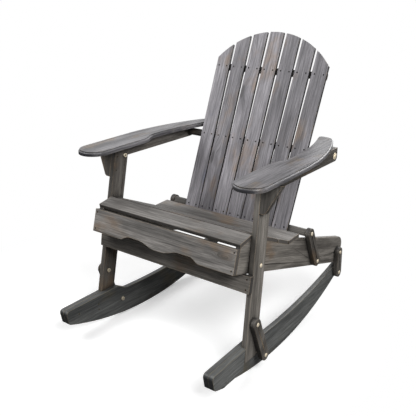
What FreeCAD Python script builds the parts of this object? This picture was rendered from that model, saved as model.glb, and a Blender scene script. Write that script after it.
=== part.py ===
import FreeCAD, Part
import math
import os
from types import SimpleNamespace

import Sketcher

# Rocking adirondack chair, in millimetres.
# X runs across the chair, Y runs from the front to the rear, Z is up, and the floor is Z = 0.
# Side profiles are drawn from the datum, which is the lower front edge of the apron.

doc = FreeCAD.newDocument("RockingAdirondackChair")

# Driving sizes
DRIVING_SIZES = [
    ("datum_y", -306.44, "lower front edge of the apron, from the middle of the chair"),
    ("datum_z", 382, "lower front edge of the apron, above the floor"),
    ("board_t", 18, "thickness of the frame boards"),
    ("slat_t", 13, "thickness of the seat slats"),
    ("seat_half_w", 297, "half the width over the seat rails"),
    ("lap_gap", 0.3, "gap between boards that lie against each other"),
    ("run_gap", 0.5, "side gap of a board that turns beside another"),
    ("slat_edge_r", 2, "rounding of the slats' upper edges"),
    ("arm_rail_corner_r", 16, "rounding of the lower corners of the arm rails"),
    ("rail_depth", 103, "depth of the seat rails"),
    ("rail_len", 775, "length of the seat rails along the lower edge"),
    ("rail_fall", 17.35, "fall of the seat rails to the rear, degrees"),
    ("rail_nose_r", 40, "rounding of the upper rear corner of the seat rails"),
    ("apron_height", 79, "height of the apron board"),
    ("apron_lean", 15.25, "lean of the apron, degrees"),
    ("scallop_rise", 15, "height of the scallops in the apron"),
    ("scallop_outer_x", 172, "outer foot of a scallop"),
    ("scallop_outer_run", 45, "length of the steep side of a scallop"),
    ("scallop_flat", 37, "length of the flat of a scallop"),
    ("scallop_inner_x", 10, "inner foot of a scallop"),
    ("seat_front_z", 75.3, "front of the seat rails' top, above the datum"),
    ("front_slat_w", 62, "width of the front seat slat"),
    ("front_slat_tilt", 10.3, "rise of the front seat slat, degrees"),
    ("front_slat_gap", 12, "gap behind the front seat slat"),
    ("seat_slat_w", 70, "width of the other seat slats"),
    ("seat_slat_gap", 10, "gap between the sloping seat slats"),
    ("seat_fall", 23.8, "fall of the sloping seat slats, degrees"),
    ("rear_slat_rise", 2.4, "rise of the rear seat slat, degrees"),
    ("leg_w", 64, "width of the front legs"),
    ("leg_lean", 10.1, "lean of the front legs, degrees"),
    ("leg_splay", 2.1, "outward splay of the front legs, degrees"),
    ("leg_front_y", 79.4, "front edge of the legs at the height of the datum"),
    ("leg_top_z", 262, "top of the legs above the datum"),
    ("leg_foot_z", 305, "foot of the legs below the datum"),
    ("leg_clear_z", 105, "height above the datum where a leg comes nearest to the seat"),
    ("leg_corner_r", 14, "rounding of the upper rear corner of the legs"),
    ("corbel_top_w", 71, "width of the corbels under the arm"),
    ("corbel_foot_w", 20, "width of the corbels at the lower end"),
    ("corbel_height", 97, "height of the corbels"),
    ("corbel_r", 12, "rounding of the lower corner of the corbels"),
    ("stretcher_w", 55.5, "height of the front stretcher"),
    ("stretcher_in", 3, "ends of the front stretcher, in from the legs' outer faces"),
    ("stretcher_off", 5, "middle of the front stretcher, to the right of the chair's middle"),
    ("rocker_r", 1170, "radius of the running edge of the rockers"),
    ("rocker_mid_y", 258, "lowest point of the rockers, behind the datum"),
    ("rocker_tip_y", 139, "front end of the running edge, ahead of the datum"),
    ("rocker_rear_run", 24, "rear end of the running edge, behind the rear links' lower bolt"),
    ("rocker_waist", 98, "depth of the rockers behind the legs"),
    ("rocker_waist_y", 140, "front end of the hollow upper edge of the rockers"),
    ("rocker_hollow_r", 2200, "radius of the hollow upper edge of the rockers"),
    ("rocker_tail", 46, "depth of the rockers at the rear end"),
    ("rocker_tail_lean", 4, "lean of the rockers' rear end"),
    ("rocker_tip_lean", 11, "lean of the rockers' front end"),
    ("rocker_tip_drop", 4, "fall of the rockers' straight top to the front"),
    ("rocker_top_z", 256, "top of the rockers ahead of the legs, below the datum"),
    ("rocker_step_y", 100, "end of the straight top of the rockers"),
    ("rocker_toe", 1.3, "turn of the rockers towards each other at the rear, degrees"),
    ("rocker_tip_r", 12, "rounding of the ends of the rockers"),
    ("block_heel_z", 329, "level underside of the rocker blocks, below the datum"),
    ("link_w", 38, "width of the links"),
    ("hip_y", 460, "upper bolt of the back links, behind the datum"),
    ("hip_z", -14.5, "upper bolt of the back links, above the datum"),
    ("heel_y", 519, "lower bolt of the back links, behind the datum"),
    ("heel_z", -141, "lower bolt of the back links, above the datum"),
    ("back_tilt", 22.73, "tilt of the back from upright, degrees"),
    ("back_len", 713, "length of the middle slat of the back"),
    ("back_foot", 14, "length of the slats below the lower bar's middle"),
    ("back_slat_t", 10, "thickness of the back slats"),
    ("back_arch_r", 310, "radius of the arched top of the back"),
    ("back_slat_foot_w", 63, "width of the back slats at the foot"),
    ("back_slat_head_w", 58, "width of the back slats at the head"),
    ("back_gap_foot", 3, "gap between the back slats at the foot"),
    ("back_gap_head", 12.5, "gap between the back slats at the head"),
    ("bar_depth", 30, "depth of the lower and middle bars of the back"),
    ("bar_height", 26, "height of the lower and middle bars of the back"),
    ("bar_r", 6, "rounding of the bars"),
    ("batten_size", 22, "thickness and height of the top batten"),
    ("middle_bar_s", 297, "middle bar, up the back from the slats' foot"),
    ("top_batten_in", 144, "top batten, down from the top of the middle slat"),
    ("arm_t", 13, "thickness of the arm boards below the raised top"),
    ("arm_cap_t", 3, "height of the raised top of the arms"),
    ("arm_cap_inset", 4, "set-back of the raised top of the arms"),
    ("arm_edge_r", 5, "rounding of the arms' edges"),
    ("arm_under_z", 266, "underside of the arms at the front edge of the legs, above the datum"),
    ("arm_front_y", 56, "middle of the round front end of the arms"),
    ("arm_mid_x", 320, "middle of the round front end of the arms"),
    ("arm_nose_r", 57, "radius of the front end of the arms"),
    ("arm_waist_y", 246, "start of the narrowing of the arms"),
    ("arm_waist_run", 80, "length of the narrowing of the arms"),
    ("arm_waist_in", 22, "amount by which the arms narrow"),
    ("arm_sweep_y", 263, "start of the rear sweep of the arms"),
    ("arm_sweep_r", 836, "radius of the rear sweep of the arms"),
    ("arm_inner_r", 880, "radius of the inner edge of the arms behind the narrowing"),
    ("arm_tail_r", 14, "rounding of the inner rear corner of the arms"),
    ("arm_heel_r", 42, "rounding of the outer rear corner of the arms"),
    ("arm_rear_y", 646, "rear end of the arms, behind the datum"),
    ("arm_rise", 0.75, "rise of the arms to the rear, degrees"),
    ("arm_rail_h", 40, "height of the rails under the arms"),
    ("arm_rail_nose", 22, "length of the arm rails ahead of the arm bolts"),
    ("arm_rail_tail", 22, "length of the arm rails behind the rear arm bolts"),
    ("arm_bolt_y", 170, "bolt between a leg and its arm, behind the datum"),
    ("arm_bolt_z", 236, "bolt between a leg and its arm, above the datum"),
    ("seat_bolt_y", 119, "bolt between a leg and its seat rail, behind the datum"),
    ("seat_bolt_z", -5, "bolt between a leg and its seat rail, above the datum"),
    ("brace_top_y", 72, "upper bolt of the brace links, behind the datum"),
    ("brace_top_z", -184, "upper bolt of the brace links, above the datum"),
    ("brace_foot_y", 119, "lower bolt of the brace links, behind the datum"),
    ("brace_foot_z", -316, "lower bolt of the brace links, above the datum"),
    ("tail_in", 38.8, "upper bolt of the rear links, from the rear end of the seat rails"),
    ("tail_up", 44.6, "upper bolt of the rear links, above the lower edge of the rails"),
    ("tail_run", 4, "lower bolt of the rear links, behind the upper one"),
    ("tail_drop", 88, "lower bolt of the rear links, below the upper one"),
    ("bolt_r", 4, "radius of the bolts"),
    ("bolt_head_r", 7, "radius of the bolt heads"),
    ("bolt_head_h", 3, "height of the bolt heads"),
    ("nut_r", 7.5, "radius over the corners of the nuts"),
    ("nut_t", 5, "thickness of the nuts"),
    ("board_clear", 0.2, "gap around a bolt in a board that it is square to"),
    ("screw_in", 11, "screws from the edge of a slat or board"),
    ("bolt_bite", 40, "length of the bolts into the bars of the back"),
    ("fixed_clear", 0.8, "gap around a bolt in a fixed joint"),
    ("turn_clear", 0.1, "gap around a bolt in a turning joint"),
    ("open_clear", 3.6, "gap around the rear arm bolts"),
    ("washer_r", 12, "radius of the washers at the rear arm bolts"),
    ("washer_t", 1.5, "thickness of the washers"),
    ("screw_r", 2.8, "radius of the screw heads"),
    ("screw_t", 3, "height of the screw heads"),
    ("screw_sink", 1.2, "depth of the screw heads below the wood"),
    ("screw_clear", 0.3, "gap around the screw heads"),
]

sheet = doc.addObject("Spreadsheet::Sheet", "Sizes")
for row, (alias, number, note) in enumerate(DRIVING_SIZES, start=1):
    sheet.set("A%d" % row, alias)
    sheet.set("B%d" % row, str(number))
    sheet.set("C%d" % row, note)
    sheet.setAlias("B%d" % row, alias)
doc.recompute()


class Size(float):
    """A number that keeps the formula it was worked out with."""

    def __new__(cls, number, formula=None):
        size = super().__new__(cls, number)
        size.formula = formula if formula else "%.6f" % number
        return size

    def __add__(self, other):
        other = as_size(other)
        return Size(float(self) + float(other), "(%s + %s)" % (self.formula, other.formula))

    def __radd__(self, other):
        return as_size(other) + self

    def __sub__(self, other):
        other = as_size(other)
        return Size(float(self) - float(other), "(%s - %s)" % (self.formula, other.formula))

    def __rsub__(self, other):
        return as_size(other) - self

    def __mul__(self, other):
        other = as_size(other)
        return Size(float(self) * float(other), "(%s * %s)" % (self.formula, other.formula))

    def __rmul__(self, other):
        return as_size(other) * self

    def __truediv__(self, other):
        other = as_size(other)
        return Size(float(self) / float(other), "(%s / %s)" % (self.formula, other.formula))

    def __rtruediv__(self, other):
        return as_size(other) / self

    def __neg__(self):
        return Size(-float(self), "(-1 * %s)" % self.formula)


def as_size(number):
    return number if isinstance(number, Size) else Size(number)


def read(alias):
    return Size(float(sheet.get(alias)), "Sizes." + alias)


def sine(angle):
    return Size(math.sin(math.radians(angle)), "sin(%s * 1 deg)" % angle.formula)


def cosine(angle):
    return Size(math.cos(math.radians(angle)), "cos(%s * 1 deg)" % angle.formula)


def root(size):
    size = as_size(size)
    return Size(math.sqrt(size), "sqrt(%s)" % size.formula)


def tangent(angle):
    return Size(math.tan(math.radians(angle)), "tan(%s * 1 deg)" % angle.formula)


s = SimpleNamespace(**{alias: read(alias) for alias, number, note in DRIVING_SIZES})

# Sketch and body helpers

PLANES = {"XY": "XY_Plane", "XZ": "XZ_Plane", "YZ": "YZ_Plane"}
X_AXIS = FreeCAD.Vector(1, 0, 0)
Y_AXIS = FreeCAD.Vector(0, 1, 0)
Z_AXIS = FreeCAD.Vector(0, 0, 1)


def bind(sketch, index, size):
    if isinstance(size, Size):
        sketch.setExpression("Constraints[%d]" % index, size.formula)


def pin(sketch, geo, point, x, y):
    for kind, size in (("DistanceX", x), ("DistanceY", y)):
        index = sketch.addConstraint(Sketcher.Constraint(kind, -1, 1, geo, point, float(size)))
        bind(sketch, index, size)


def line_to(x, y):
    return ("line", x, y)


def arc_to(x, y, radius, left):
    """An arc to a point. Its middle lies to the left or the right of the way there."""
    return ("arc", x, y, radius, left)


def arc_middle(start, end, radius, left):
    run = (end[0] - start[0], end[1] - start[1])
    chord = math.hypot(*run)
    rise = math.sqrt(max(radius * radius - chord * chord / 4, 0))
    side = 1 if left else -1
    return (
        (start[0] + end[0]) / 2 - side * rise * run[1] / chord,
        (start[1] + end[1]) / 2 + side * rise * run[0] / chord,
    )


def draw_outline(sketch, steps):
    """Draw a closed outline. The first step's start is the last step's end."""
    start = (float(steps[-1][1]), float(steps[-1][2]))
    ends = []
    for step in steps:
        end = (float(step[1]), float(step[2]))
        if step[0] == "line":
            geo = sketch.addGeometry(
                Part.LineSegment(FreeCAD.Vector(*start, 0), FreeCAD.Vector(*end, 0)), False
            )
            ends.append((geo, 1, 2))
        else:
            radius, left = step[3], step[4]
            middle = arc_middle(start, end, float(radius), left)
            first, last = (start, end) if left else (end, start)
            angles = [math.atan2(p[1] - middle[1], p[0] - middle[0]) for p in (first, last)]
            if angles[1] < angles[0]:
                angles[1] += 2 * math.pi
            circle = Part.Circle(FreeCAD.Vector(*middle, 0), Z_AXIS, float(radius))
            geo = sketch.addGeometry(Part.ArcOfCircle(circle, *angles), False)
            ends.append((geo, 1, 2) if left else (geo, 2, 1))
        start = end
    for index, step in enumerate(steps):
        geo, first, last = ends[index]
        following = ends[(index + 1) % len(ends)]
        sketch.addConstraint(Sketcher.Constraint("Coincident", geo, last, following[0], following[1]))
        pin(sketch, geo, last, step[1], step[2])
        if step[0] == "arc":
            number = sketch.addConstraint(Sketcher.Constraint("Radius", geo, float(step[3])))
            bind(sketch, number, step[3])


def draw_circle(sketch, x, y, radius):
    circle = Part.Circle(FreeCAD.Vector(float(x), float(y), 0), Z_AXIS, float(radius))
    geo = sketch.addGeometry(circle, False)
    pin(sketch, geo, 3, x, y)
    number = sketch.addConstraint(Sketcher.Constraint("Radius", geo, float(radius)))
    bind(sketch, number, radius)


def new_sketch(body, plane, name, lift=None):
    sketch = body.newObject("Sketcher::SketchObject", name)
    planes = [item for item in body.Origin.OutList if item.Name.startswith(PLANES[plane])]
    sketch.AttachmentSupport = [(planes[0], "")]
    sketch.MapMode = "FlatFace"
    if lift is not None:
        sketch.setExpression("AttachmentOffset.Base.z", lift.formula)
    return sketch


def new_body(label, base=(Size(0), Size(0), Size(0)), rotation=FreeCAD.Rotation()):
    body = doc.addObject("PartDesign::Body", label)
    body.Label = label
    body.Placement = FreeCAD.Placement(FreeCAD.Vector(*[float(b) for b in base]), rotation)
    for axis, size in zip("xyz", base):
        body.setExpression("Placement.Base." + axis, as_size(size).formula)
    return body


def pad_board(body, plane, steps, holes, thickness, both_ways=True, lift=None):
    """Pad a closed outline with round holes to a board of the given thickness."""
    sketch = new_sketch(body, plane, body.Name + "_outline", lift)
    draw_outline(sketch, steps)
    for x, y, radius in holes:
        draw_circle(sketch, x, y, radius)
    pad = body.newObject("PartDesign::Pad", body.Name + "_pad")
    pad.Profile = sketch
    pad.Length = float(thickness)
    pad.setExpression("Length", thickness.formula)
    if both_ways:
        pad.SideType = "Symmetric"
    doc.recompute()
    return pad


def draw_slot(sketch, first, last, radius):
    """Draw a straight slot with round ends about two points."""
    run = FreeCAD.Vector(float(last[0]) - float(first[0]), float(last[1]) - float(first[1]), 0)
    angle = math.atan2(run.y, run.x)
    side = FreeCAD.Vector(-run.y, run.x, 0).normalize() * float(radius)
    middles = [FreeCAD.Vector(float(point[0]), float(point[1]), 0) for point in (first, last)]
    turns = [(angle + math.pi / 2, angle + 3 * math.pi / 2), (angle - math.pi / 2, angle + math.pi / 2)]
    arcs = []
    for middle, turn in zip(middles, turns):
        circle = Part.Circle(middle, Z_AXIS, float(radius))
        arcs.append(sketch.addGeometry(Part.ArcOfCircle(circle, *turn), False))
    lower = sketch.addGeometry(Part.LineSegment(middles[0] - side, middles[1] - side), False)
    upper = sketch.addGeometry(Part.LineSegment(middles[1] + side, middles[0] + side), False)
    for ends in (
        (arcs[0], 2, lower, 1), (lower, 2, arcs[1], 1), (arcs[1], 2, upper, 1), (upper, 2, arcs[0], 1)
    ):
        sketch.addConstraint(Sketcher.Constraint("Tangent", *ends))
    pin(sketch, arcs[0], 3, *first)
    pin(sketch, arcs[1], 3, *last)
    number = sketch.addConstraint(Sketcher.Constraint("Radius", arcs[0], float(radius)))
    bind(sketch, number, radius)


def pad_link(body, first, last, holes):
    """Pad a board with round ends about two bolts."""
    sketch = new_sketch(body, "YZ", body.Name + "_outline")
    draw_slot(sketch, first, last, s.link_w / 2)
    for (x, y), radius in zip((first, last), holes):
        draw_circle(sketch, x, y, radius)
    pad = body.newObject("PartDesign::Pad", body.Name + "_pad")
    pad.Profile = sketch
    pad.SideType = "Symmetric"
    pad.setExpression("Length", s.board_t.formula)
    doc.recompute()
    return pad


def draw_recess(sketch, x, y, radius):
    """Draw the outline of a screw's recess, as eight sides about a point."""
    corners = []
    for number in range(8):
        turn = as_size(45 * number)
        corners.append(line_to(x + radius * cosine(turn), y + radius * sine(turn)))
    draw_outline(sketch, corners)


def sink(body, plane, centres, draw, radius, depth, lift, name, reverse):
    """Pocket holes into a board from the side that the sketch plane faces."""
    sketch = new_sketch(body, plane, body.Name + "_" + name, lift)
    for x, y in centres:
        draw(sketch, x, y, radius)
    pocket = body.newObject("PartDesign::Pocket", body.Name + "_" + name + "_pocket")
    pocket.Profile = sketch
    pocket.Length = float(depth)
    pocket.setExpression("Length", depth.formula)
    pocket.Reversed = reverse
    doc.recompute()
    return pocket


def sink_bore(body, depth, lift, name, reverse):
    """Bore the end of a bar for a bolt along its axis."""
    middle = [(Size(0), Size(0))]
    return sink(body, "YZ", middle, draw_circle, s.bolt_r + s.board_clear, depth, lift, name, reverse)


def sink_screws(body, plane, centres, lift=None, reverse=False):
    """Sink the recesses for a board's screws."""
    lift = lift if lift is not None else Size(0)
    radius = s.screw_r + s.screw_clear
    depth = s.screw_t + s.screw_sink
    return sink(body, plane, centres, draw_recess, radius, depth, lift, "screws", reverse)


def edges_near(feature, points, direction, reach=2.0):
    """Name the straight edges along a direction that pass near the points."""
    names = []
    for number, edge in enumerate(feature.Shape.Edges, start=1):
        if edge.Curve.TypeId != "Part::GeomLine":
            continue
        along = edge.tangentAt(edge.FirstParameter)
        if abs(abs(along.dot(direction)) - 1) > 1e-4:
            continue
        middle = edge.valueAt((edge.FirstParameter + edge.LastParameter) / 2)
        for point in points:
            gap = middle - FreeCAD.Vector(*[float(p) for p in point])
            gap = gap - direction * gap.dot(direction)
            if gap.Length < reach:
                names.append("Edge%d" % number)
                break
    return names


def round_edges(body, feature, names, radius, name):
    fillet = body.newObject("PartDesign::Fillet", body.Name + "_" + name)
    fillet.Base = (feature, names)
    fillet.Radius = float(radius)
    fillet.setExpression("Radius", radius.formula)
    doc.recompute()
    return fillet


def turned(axis, angle):
    return FreeCAD.Rotation(axis, float(angle))


def at_datum(x, y=Size(0), z=Size(0)):
    return (as_size(x), s.datum_y + y, s.datum_z + z)


# Places worked out from the sizes

SIDES = (("left", -1), ("right", 1))
rail_mid_x = s.seat_half_w - s.board_t / 2
leg_mid_x = (
    s.seat_half_w + s.lap_gap + s.board_t / 2 / cosine(s.leg_splay) + tangent(s.leg_splay) * s.leg_clear_z
)
leg_half_x = s.board_t / 2 / cosine(s.leg_splay)


def leg_face_x(z, layers):
    """Where a leg's middle plane, moved out by a number of half boards, lies at a height."""
    return leg_mid_x + leg_half_x * layers - tangent(s.leg_splay) * z


def in_leg(y, z):
    """A point of the side profile, measured along and up a leg."""
    run = y - s.leg_front_y
    rise = z / cosine(s.leg_splay)
    return (
        run * cosine(s.leg_lean) - rise * sine(s.leg_lean),
        run * sine(s.leg_lean) + rise * cosine(s.leg_lean),
    )


leg_foot_front = s.leg_front_y - s.leg_foot_z * tangent(s.leg_lean)
rocker_mid_x = (
    leg_face_x(-s.rocker_top_z, -1)
    - s.lap_gap
    - s.board_t / 2 / cosine(s.rocker_toe)
    + tangent(s.rocker_toe) * leg_foot_front
)
rail_slope = tangent(s.rail_fall)
rail_rise = s.rail_depth / cosine(s.rail_fall)
apron_rear = (s.board_t + s.lap_gap) / cosine(s.apron_lean)
arm_rail_bottom = s.arm_under_z - s.arm_rail_h
arm_rail_in_x = leg_face_x(arm_rail_bottom, 1) + s.run_gap
arm_rail_mid_x = arm_rail_in_x + s.board_t / 2
link_mid_x = s.seat_half_w + s.run_gap + s.board_t / 2
back_lean_y = sine(s.back_tilt)
back_lean_z = cosine(s.back_tilt)
tail_along = s.rail_len - s.tail_in
tail_top = (
    tail_along * cosine(s.rail_fall) + s.tail_up * sine(s.rail_fall),
    s.tail_up * cosine(s.rail_fall) - tail_along * sine(s.rail_fall),
)
tail_foot = (tail_top[0] + s.tail_run, tail_top[1] - s.tail_drop)
rocker_rear_y = tail_foot[0] + s.rocker_rear_run
top_batten_s = s.back_len - s.top_batten_in


def on_back(up, behind):
    """A point of the side profile, measured up the back and behind its front face."""
    foot_y = s.hip_y - s.back_foot * back_lean_y - (s.back_slat_t + s.bar_depth / 2) * back_lean_z
    foot_z = s.hip_z - s.back_foot * back_lean_z + (s.back_slat_t + s.bar_depth / 2) * back_lean_y
    return (
        foot_y + back_lean_y * up + back_lean_z * behind,
        foot_z + back_lean_z * up - back_lean_y * behind,
    )


bar_behind = s.back_slat_t + s.bar_depth / 2
shoulder = on_back(s.middle_bar_s, bar_behind)


# Seat contour along the upper edge of the rails

def stride(start, length, fall):
    return (start[0] + length * cosine(fall), start[1] - length * sine(fall))


front_of_seat = (s.seat_front_z * tangent(s.apron_lean) + apron_rear, s.seat_front_z)
front_slat_end = stride(front_of_seat, s.front_slat_w, -s.front_slat_tilt)
slope_start = stride(front_slat_end, s.front_slat_gap, s.seat_fall)
SLOPING_SLATS = 3
slope_end = stride(
    slope_start, SLOPING_SLATS * s.seat_slat_w + (SLOPING_SLATS - 1) * s.seat_slat_gap, s.seat_fall
)
rear_slat_start = stride(slope_end, s.seat_slat_gap, s.rail_fall)
rear_slat_end = stride(rear_slat_start, s.seat_slat_w, -s.rear_slat_rise)

# Seat rails

rail_front_y = apron_rear / (rail_slope * tangent(s.apron_lean) + 1)
rail_end = stride((Size(0), Size(0)), s.rail_len, s.rail_fall)
rail_top_end = (
    rail_end[0] + s.rail_depth * sine(s.rail_fall),
    rail_end[1] + s.rail_depth * cosine(s.rail_fall),
)
rail_shoulder_y = rear_slat_end[0] + s.seat_slat_gap
for side_name, side in SIDES:
    rail = new_body("seat_rail_" + side_name, at_datum(rail_mid_x * side))
    rail_steps = [
        line_to(*front_of_seat),
        line_to(*front_slat_end),
        line_to(*slope_start),
        line_to(*slope_end),
        line_to(*rear_slat_start),
        line_to(*rear_slat_end),
        line_to(rail_shoulder_y, rail_rise - rail_shoulder_y * rail_slope),
        line_to(*stride(rail_top_end, -s.rail_nose_r, s.rail_fall)),
        arc_to(
            rail_top_end[0] - s.rail_nose_r * sine(s.rail_fall),
            rail_top_end[1] - s.rail_nose_r * cosine(s.rail_fall),
            s.rail_nose_r,
            False,
        ),
        line_to(*rail_end),
        line_to(rail_front_y, -rail_front_y * rail_slope),
    ]
    rail_holes = [
        (s.seat_bolt_y, s.seat_bolt_z, s.bolt_r + s.board_clear),
        (s.heel_y, s.heel_z, s.bolt_r + s.board_clear),
        (tail_top[0], tail_top[1], s.bolt_r + s.board_clear),
    ]
    pad_board(rail, "YZ", rail_steps, rail_holes, s.board_t)

# Seat slats

slat_places = [(front_of_seat, s.front_slat_w, -s.front_slat_tilt)]
for number in range(SLOPING_SLATS):
    start = stride(slope_start, number * (s.seat_slat_w + s.seat_slat_gap), s.seat_fall)
    slat_places.append((start, s.seat_slat_w, s.seat_fall))
slat_places.append((rear_slat_start, s.seat_slat_w, -s.rear_slat_rise))
for number, (start, width, fall) in enumerate(slat_places, start=1):
    slat = new_body("seat_slat_%d" % number, at_datum(Size(0), *start), turned(X_AXIS, -fall))
    slat_steps = [
        line_to(width, Size(0)),
        line_to(width, s.slat_t),
        line_to(Size(0), s.slat_t),
        line_to(Size(0), Size(0)),
    ]
    slat_pad = pad_board(slat, "YZ", slat_steps, [], s.seat_half_w * 2)
    upper_edges = edges_near(slat_pad, [(0, 0, s.slat_t), (0, width, s.slat_t)], X_AXIS)
    round_edges(slat, slat_pad, upper_edges, s.slat_edge_r, "edges")

# Front apron with its scalloped lower edge

apron = new_body("front_apron", at_datum(Size(0)), turned(X_AXIS, -s.apron_lean))
flat_out_x = s.scallop_outer_x - s.scallop_outer_run
flat_in_x = flat_out_x - s.scallop_flat
inner_run = flat_in_x - s.scallop_inner_x


def ogee(start, end):
    """Two equal arcs that join two level lines at different heights, going rightwards."""
    run = end[0] - start[0]
    rise = end[1] - start[1]
    radius = (run * run / 4 + rise * rise / 4) / (root(rise * rise))
    up = float(rise) > 0
    middle = ((start[0] + end[0]) / 2, (start[1] + end[1]) / 2)
    return [arc_to(middle[0], middle[1], radius, up), arc_to(end[0], end[1], radius, not up)]


low = Size(0)
apron_steps = [line_to(-s.scallop_outer_x, low)]
apron_steps += ogee((-s.scallop_outer_x, low), (-flat_out_x, s.scallop_rise))
apron_steps += [line_to(-flat_in_x, s.scallop_rise)]
apron_steps += ogee((-flat_in_x, s.scallop_rise), (-s.scallop_inner_x, low))
apron_steps += [line_to(s.scallop_inner_x, low)]
apron_steps += ogee((s.scallop_inner_x, low), (flat_in_x, s.scallop_rise))
apron_steps += [line_to(flat_out_x, s.scallop_rise)]
apron_steps += ogee((flat_out_x, s.scallop_rise), (s.scallop_outer_x, low))
apron_steps += [
    line_to(s.seat_half_w, low),
    line_to(s.seat_half_w, s.apron_height),
    line_to(-s.seat_half_w, s.apron_height),
    line_to(-s.seat_half_w, low),
]
pad_board(apron, "XZ", apron_steps, [], s.board_t, lift=-s.board_t / 2)
apron_screws = [
    (rail_mid_x * side, height)
    for name, side in SIDES
    for height in (s.screw_in, s.apron_height - s.screw_in)
]
sink_screws(apron, "XZ", apron_screws)

# Front legs, corbels and brace links

leg_top = s.leg_top_z / cosine(s.leg_lean) / cosine(s.leg_splay)
leg_foot = s.leg_foot_z / cosine(s.leg_lean) / cosine(s.leg_splay)
leg_cut = s.leg_w * tangent(s.leg_lean)
leg_screw_y = s.board_t * 2 / 3
seat_bolt = in_leg(s.seat_bolt_y, s.seat_bolt_z)
arm_bolt = in_leg(s.arm_bolt_y, s.arm_bolt_z)
brace_top = in_leg(s.brace_top_y, s.brace_top_z)
brace_foot = in_leg(s.brace_foot_y, s.brace_foot_z)
loose_hole_r = s.bolt_r + s.fixed_clear
corbel_foot = leg_top - s.corbel_height
leg_screws = [
    (leg_screw_y, corbel_foot + s.corbel_height / 4),
    (leg_screw_y, corbel_foot + s.corbel_height * 3 / 4),
]
for side_name, side in SIDES:
    tilt = turned(Y_AXIS, -s.leg_splay * side).multiply(turned(X_AXIS, -s.leg_lean))
    leg = new_body("front_leg_" + side_name, at_datum(leg_mid_x * side, s.leg_front_y), tilt)
    leg_steps = [
        line_to(Size(0), leg_top),
        line_to(s.leg_w, leg_top + leg_cut),
        line_to(s.leg_w, leg_cut - leg_foot),
        line_to(Size(0), -leg_foot),
    ]
    leg_holes = [(x, y, loose_hole_r) for x, y in (seat_bolt, arm_bolt, brace_top)]
    leg_pad = pad_board(leg, "YZ", leg_steps, leg_holes, s.board_t)
    corner = edges_near(leg_pad, [(0, s.leg_w, leg_top + leg_cut)], X_AXIS)
    round_edges(leg, leg_pad, corner, s.leg_corner_r, "corner")
    sink_screws(leg, "YZ", leg_screws, -s.board_t / 2 * side, side > 0)

    corbel = new_body("arm_corbel_" + side_name, at_datum(leg_mid_x * side, s.leg_front_y), tilt)
    corbel_in_x = s.board_t / 2
    corbel_out_x = corbel_in_x + s.corbel_top_w
    corbel_steps = [
        line_to((corbel_in_x + s.corbel_foot_w) * side, corbel_foot),
        line_to(corbel_out_x * side, leg_top - corbel_out_x * tangent(s.leg_splay)),
        line_to(corbel_in_x * side, leg_top - corbel_in_x * tangent(s.leg_splay)),
        line_to(corbel_in_x * side, corbel_foot),
    ]
    corbel_pad = pad_board(corbel, "XZ", corbel_steps, [], s.board_t, lift=-s.board_t / 2)
    corner = edges_near(corbel_pad, [((corbel_in_x + s.corbel_foot_w) * side, 0, corbel_foot)], Y_AXIS)
    round_edges(corbel, corbel_pad, corner, s.corbel_r, "corner")

    brace_x = leg_mid_x + s.board_t / cosine(s.leg_splay)
    brace = new_body("brace_link_" + side_name, at_datum(brace_x * side, s.leg_front_y), tilt)
    pad_link(brace, brace_top, brace_foot, (loose_hole_r, loose_hole_r))

# Front stretcher across the front edges of the legs

stretcher_half = leg_face_x(-s.stretcher_w, 1) - s.stretcher_in
stretcher_top = -s.leg_front_y * rail_slope / (
    cosine(s.leg_lean) + rail_slope * sine(s.leg_lean)
) - s.lap_gap
stretcher = new_body(
    "front_stretcher", at_datum(Size(0), s.leg_front_y), turned(X_AXIS, -s.leg_lean)
)
stretcher_front = -s.board_t - s.lap_gap
stretcher_steps = [
    line_to(s.stretcher_off - stretcher_half, stretcher_top - s.stretcher_w),
    line_to(s.stretcher_off + stretcher_half, stretcher_top - s.stretcher_w),
    line_to(s.stretcher_off + stretcher_half, stretcher_top),
    line_to(s.stretcher_off - stretcher_half, stretcher_top),
]
pad_board(stretcher, "XZ", stretcher_steps, [], s.board_t, lift=s.board_t / 2 + s.lap_gap)
stretcher_screws = [
    (leg_mid_x * side, height)
    for name, side in SIDES
    for height in (stretcher_top - s.screw_in, stretcher_top - s.stretcher_w + s.screw_in)
]
sink_screws(stretcher, "XZ", stretcher_screws, -stretcher_front)

# Rockers with the blocks that thicken their front ends

rocker_centre_z = s.rocker_r - s.datum_z


def running_edge_z(y):
    offset = y - s.rocker_mid_y
    return rocker_centre_z - root(s.rocker_r * s.rocker_r - offset * offset)


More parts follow.
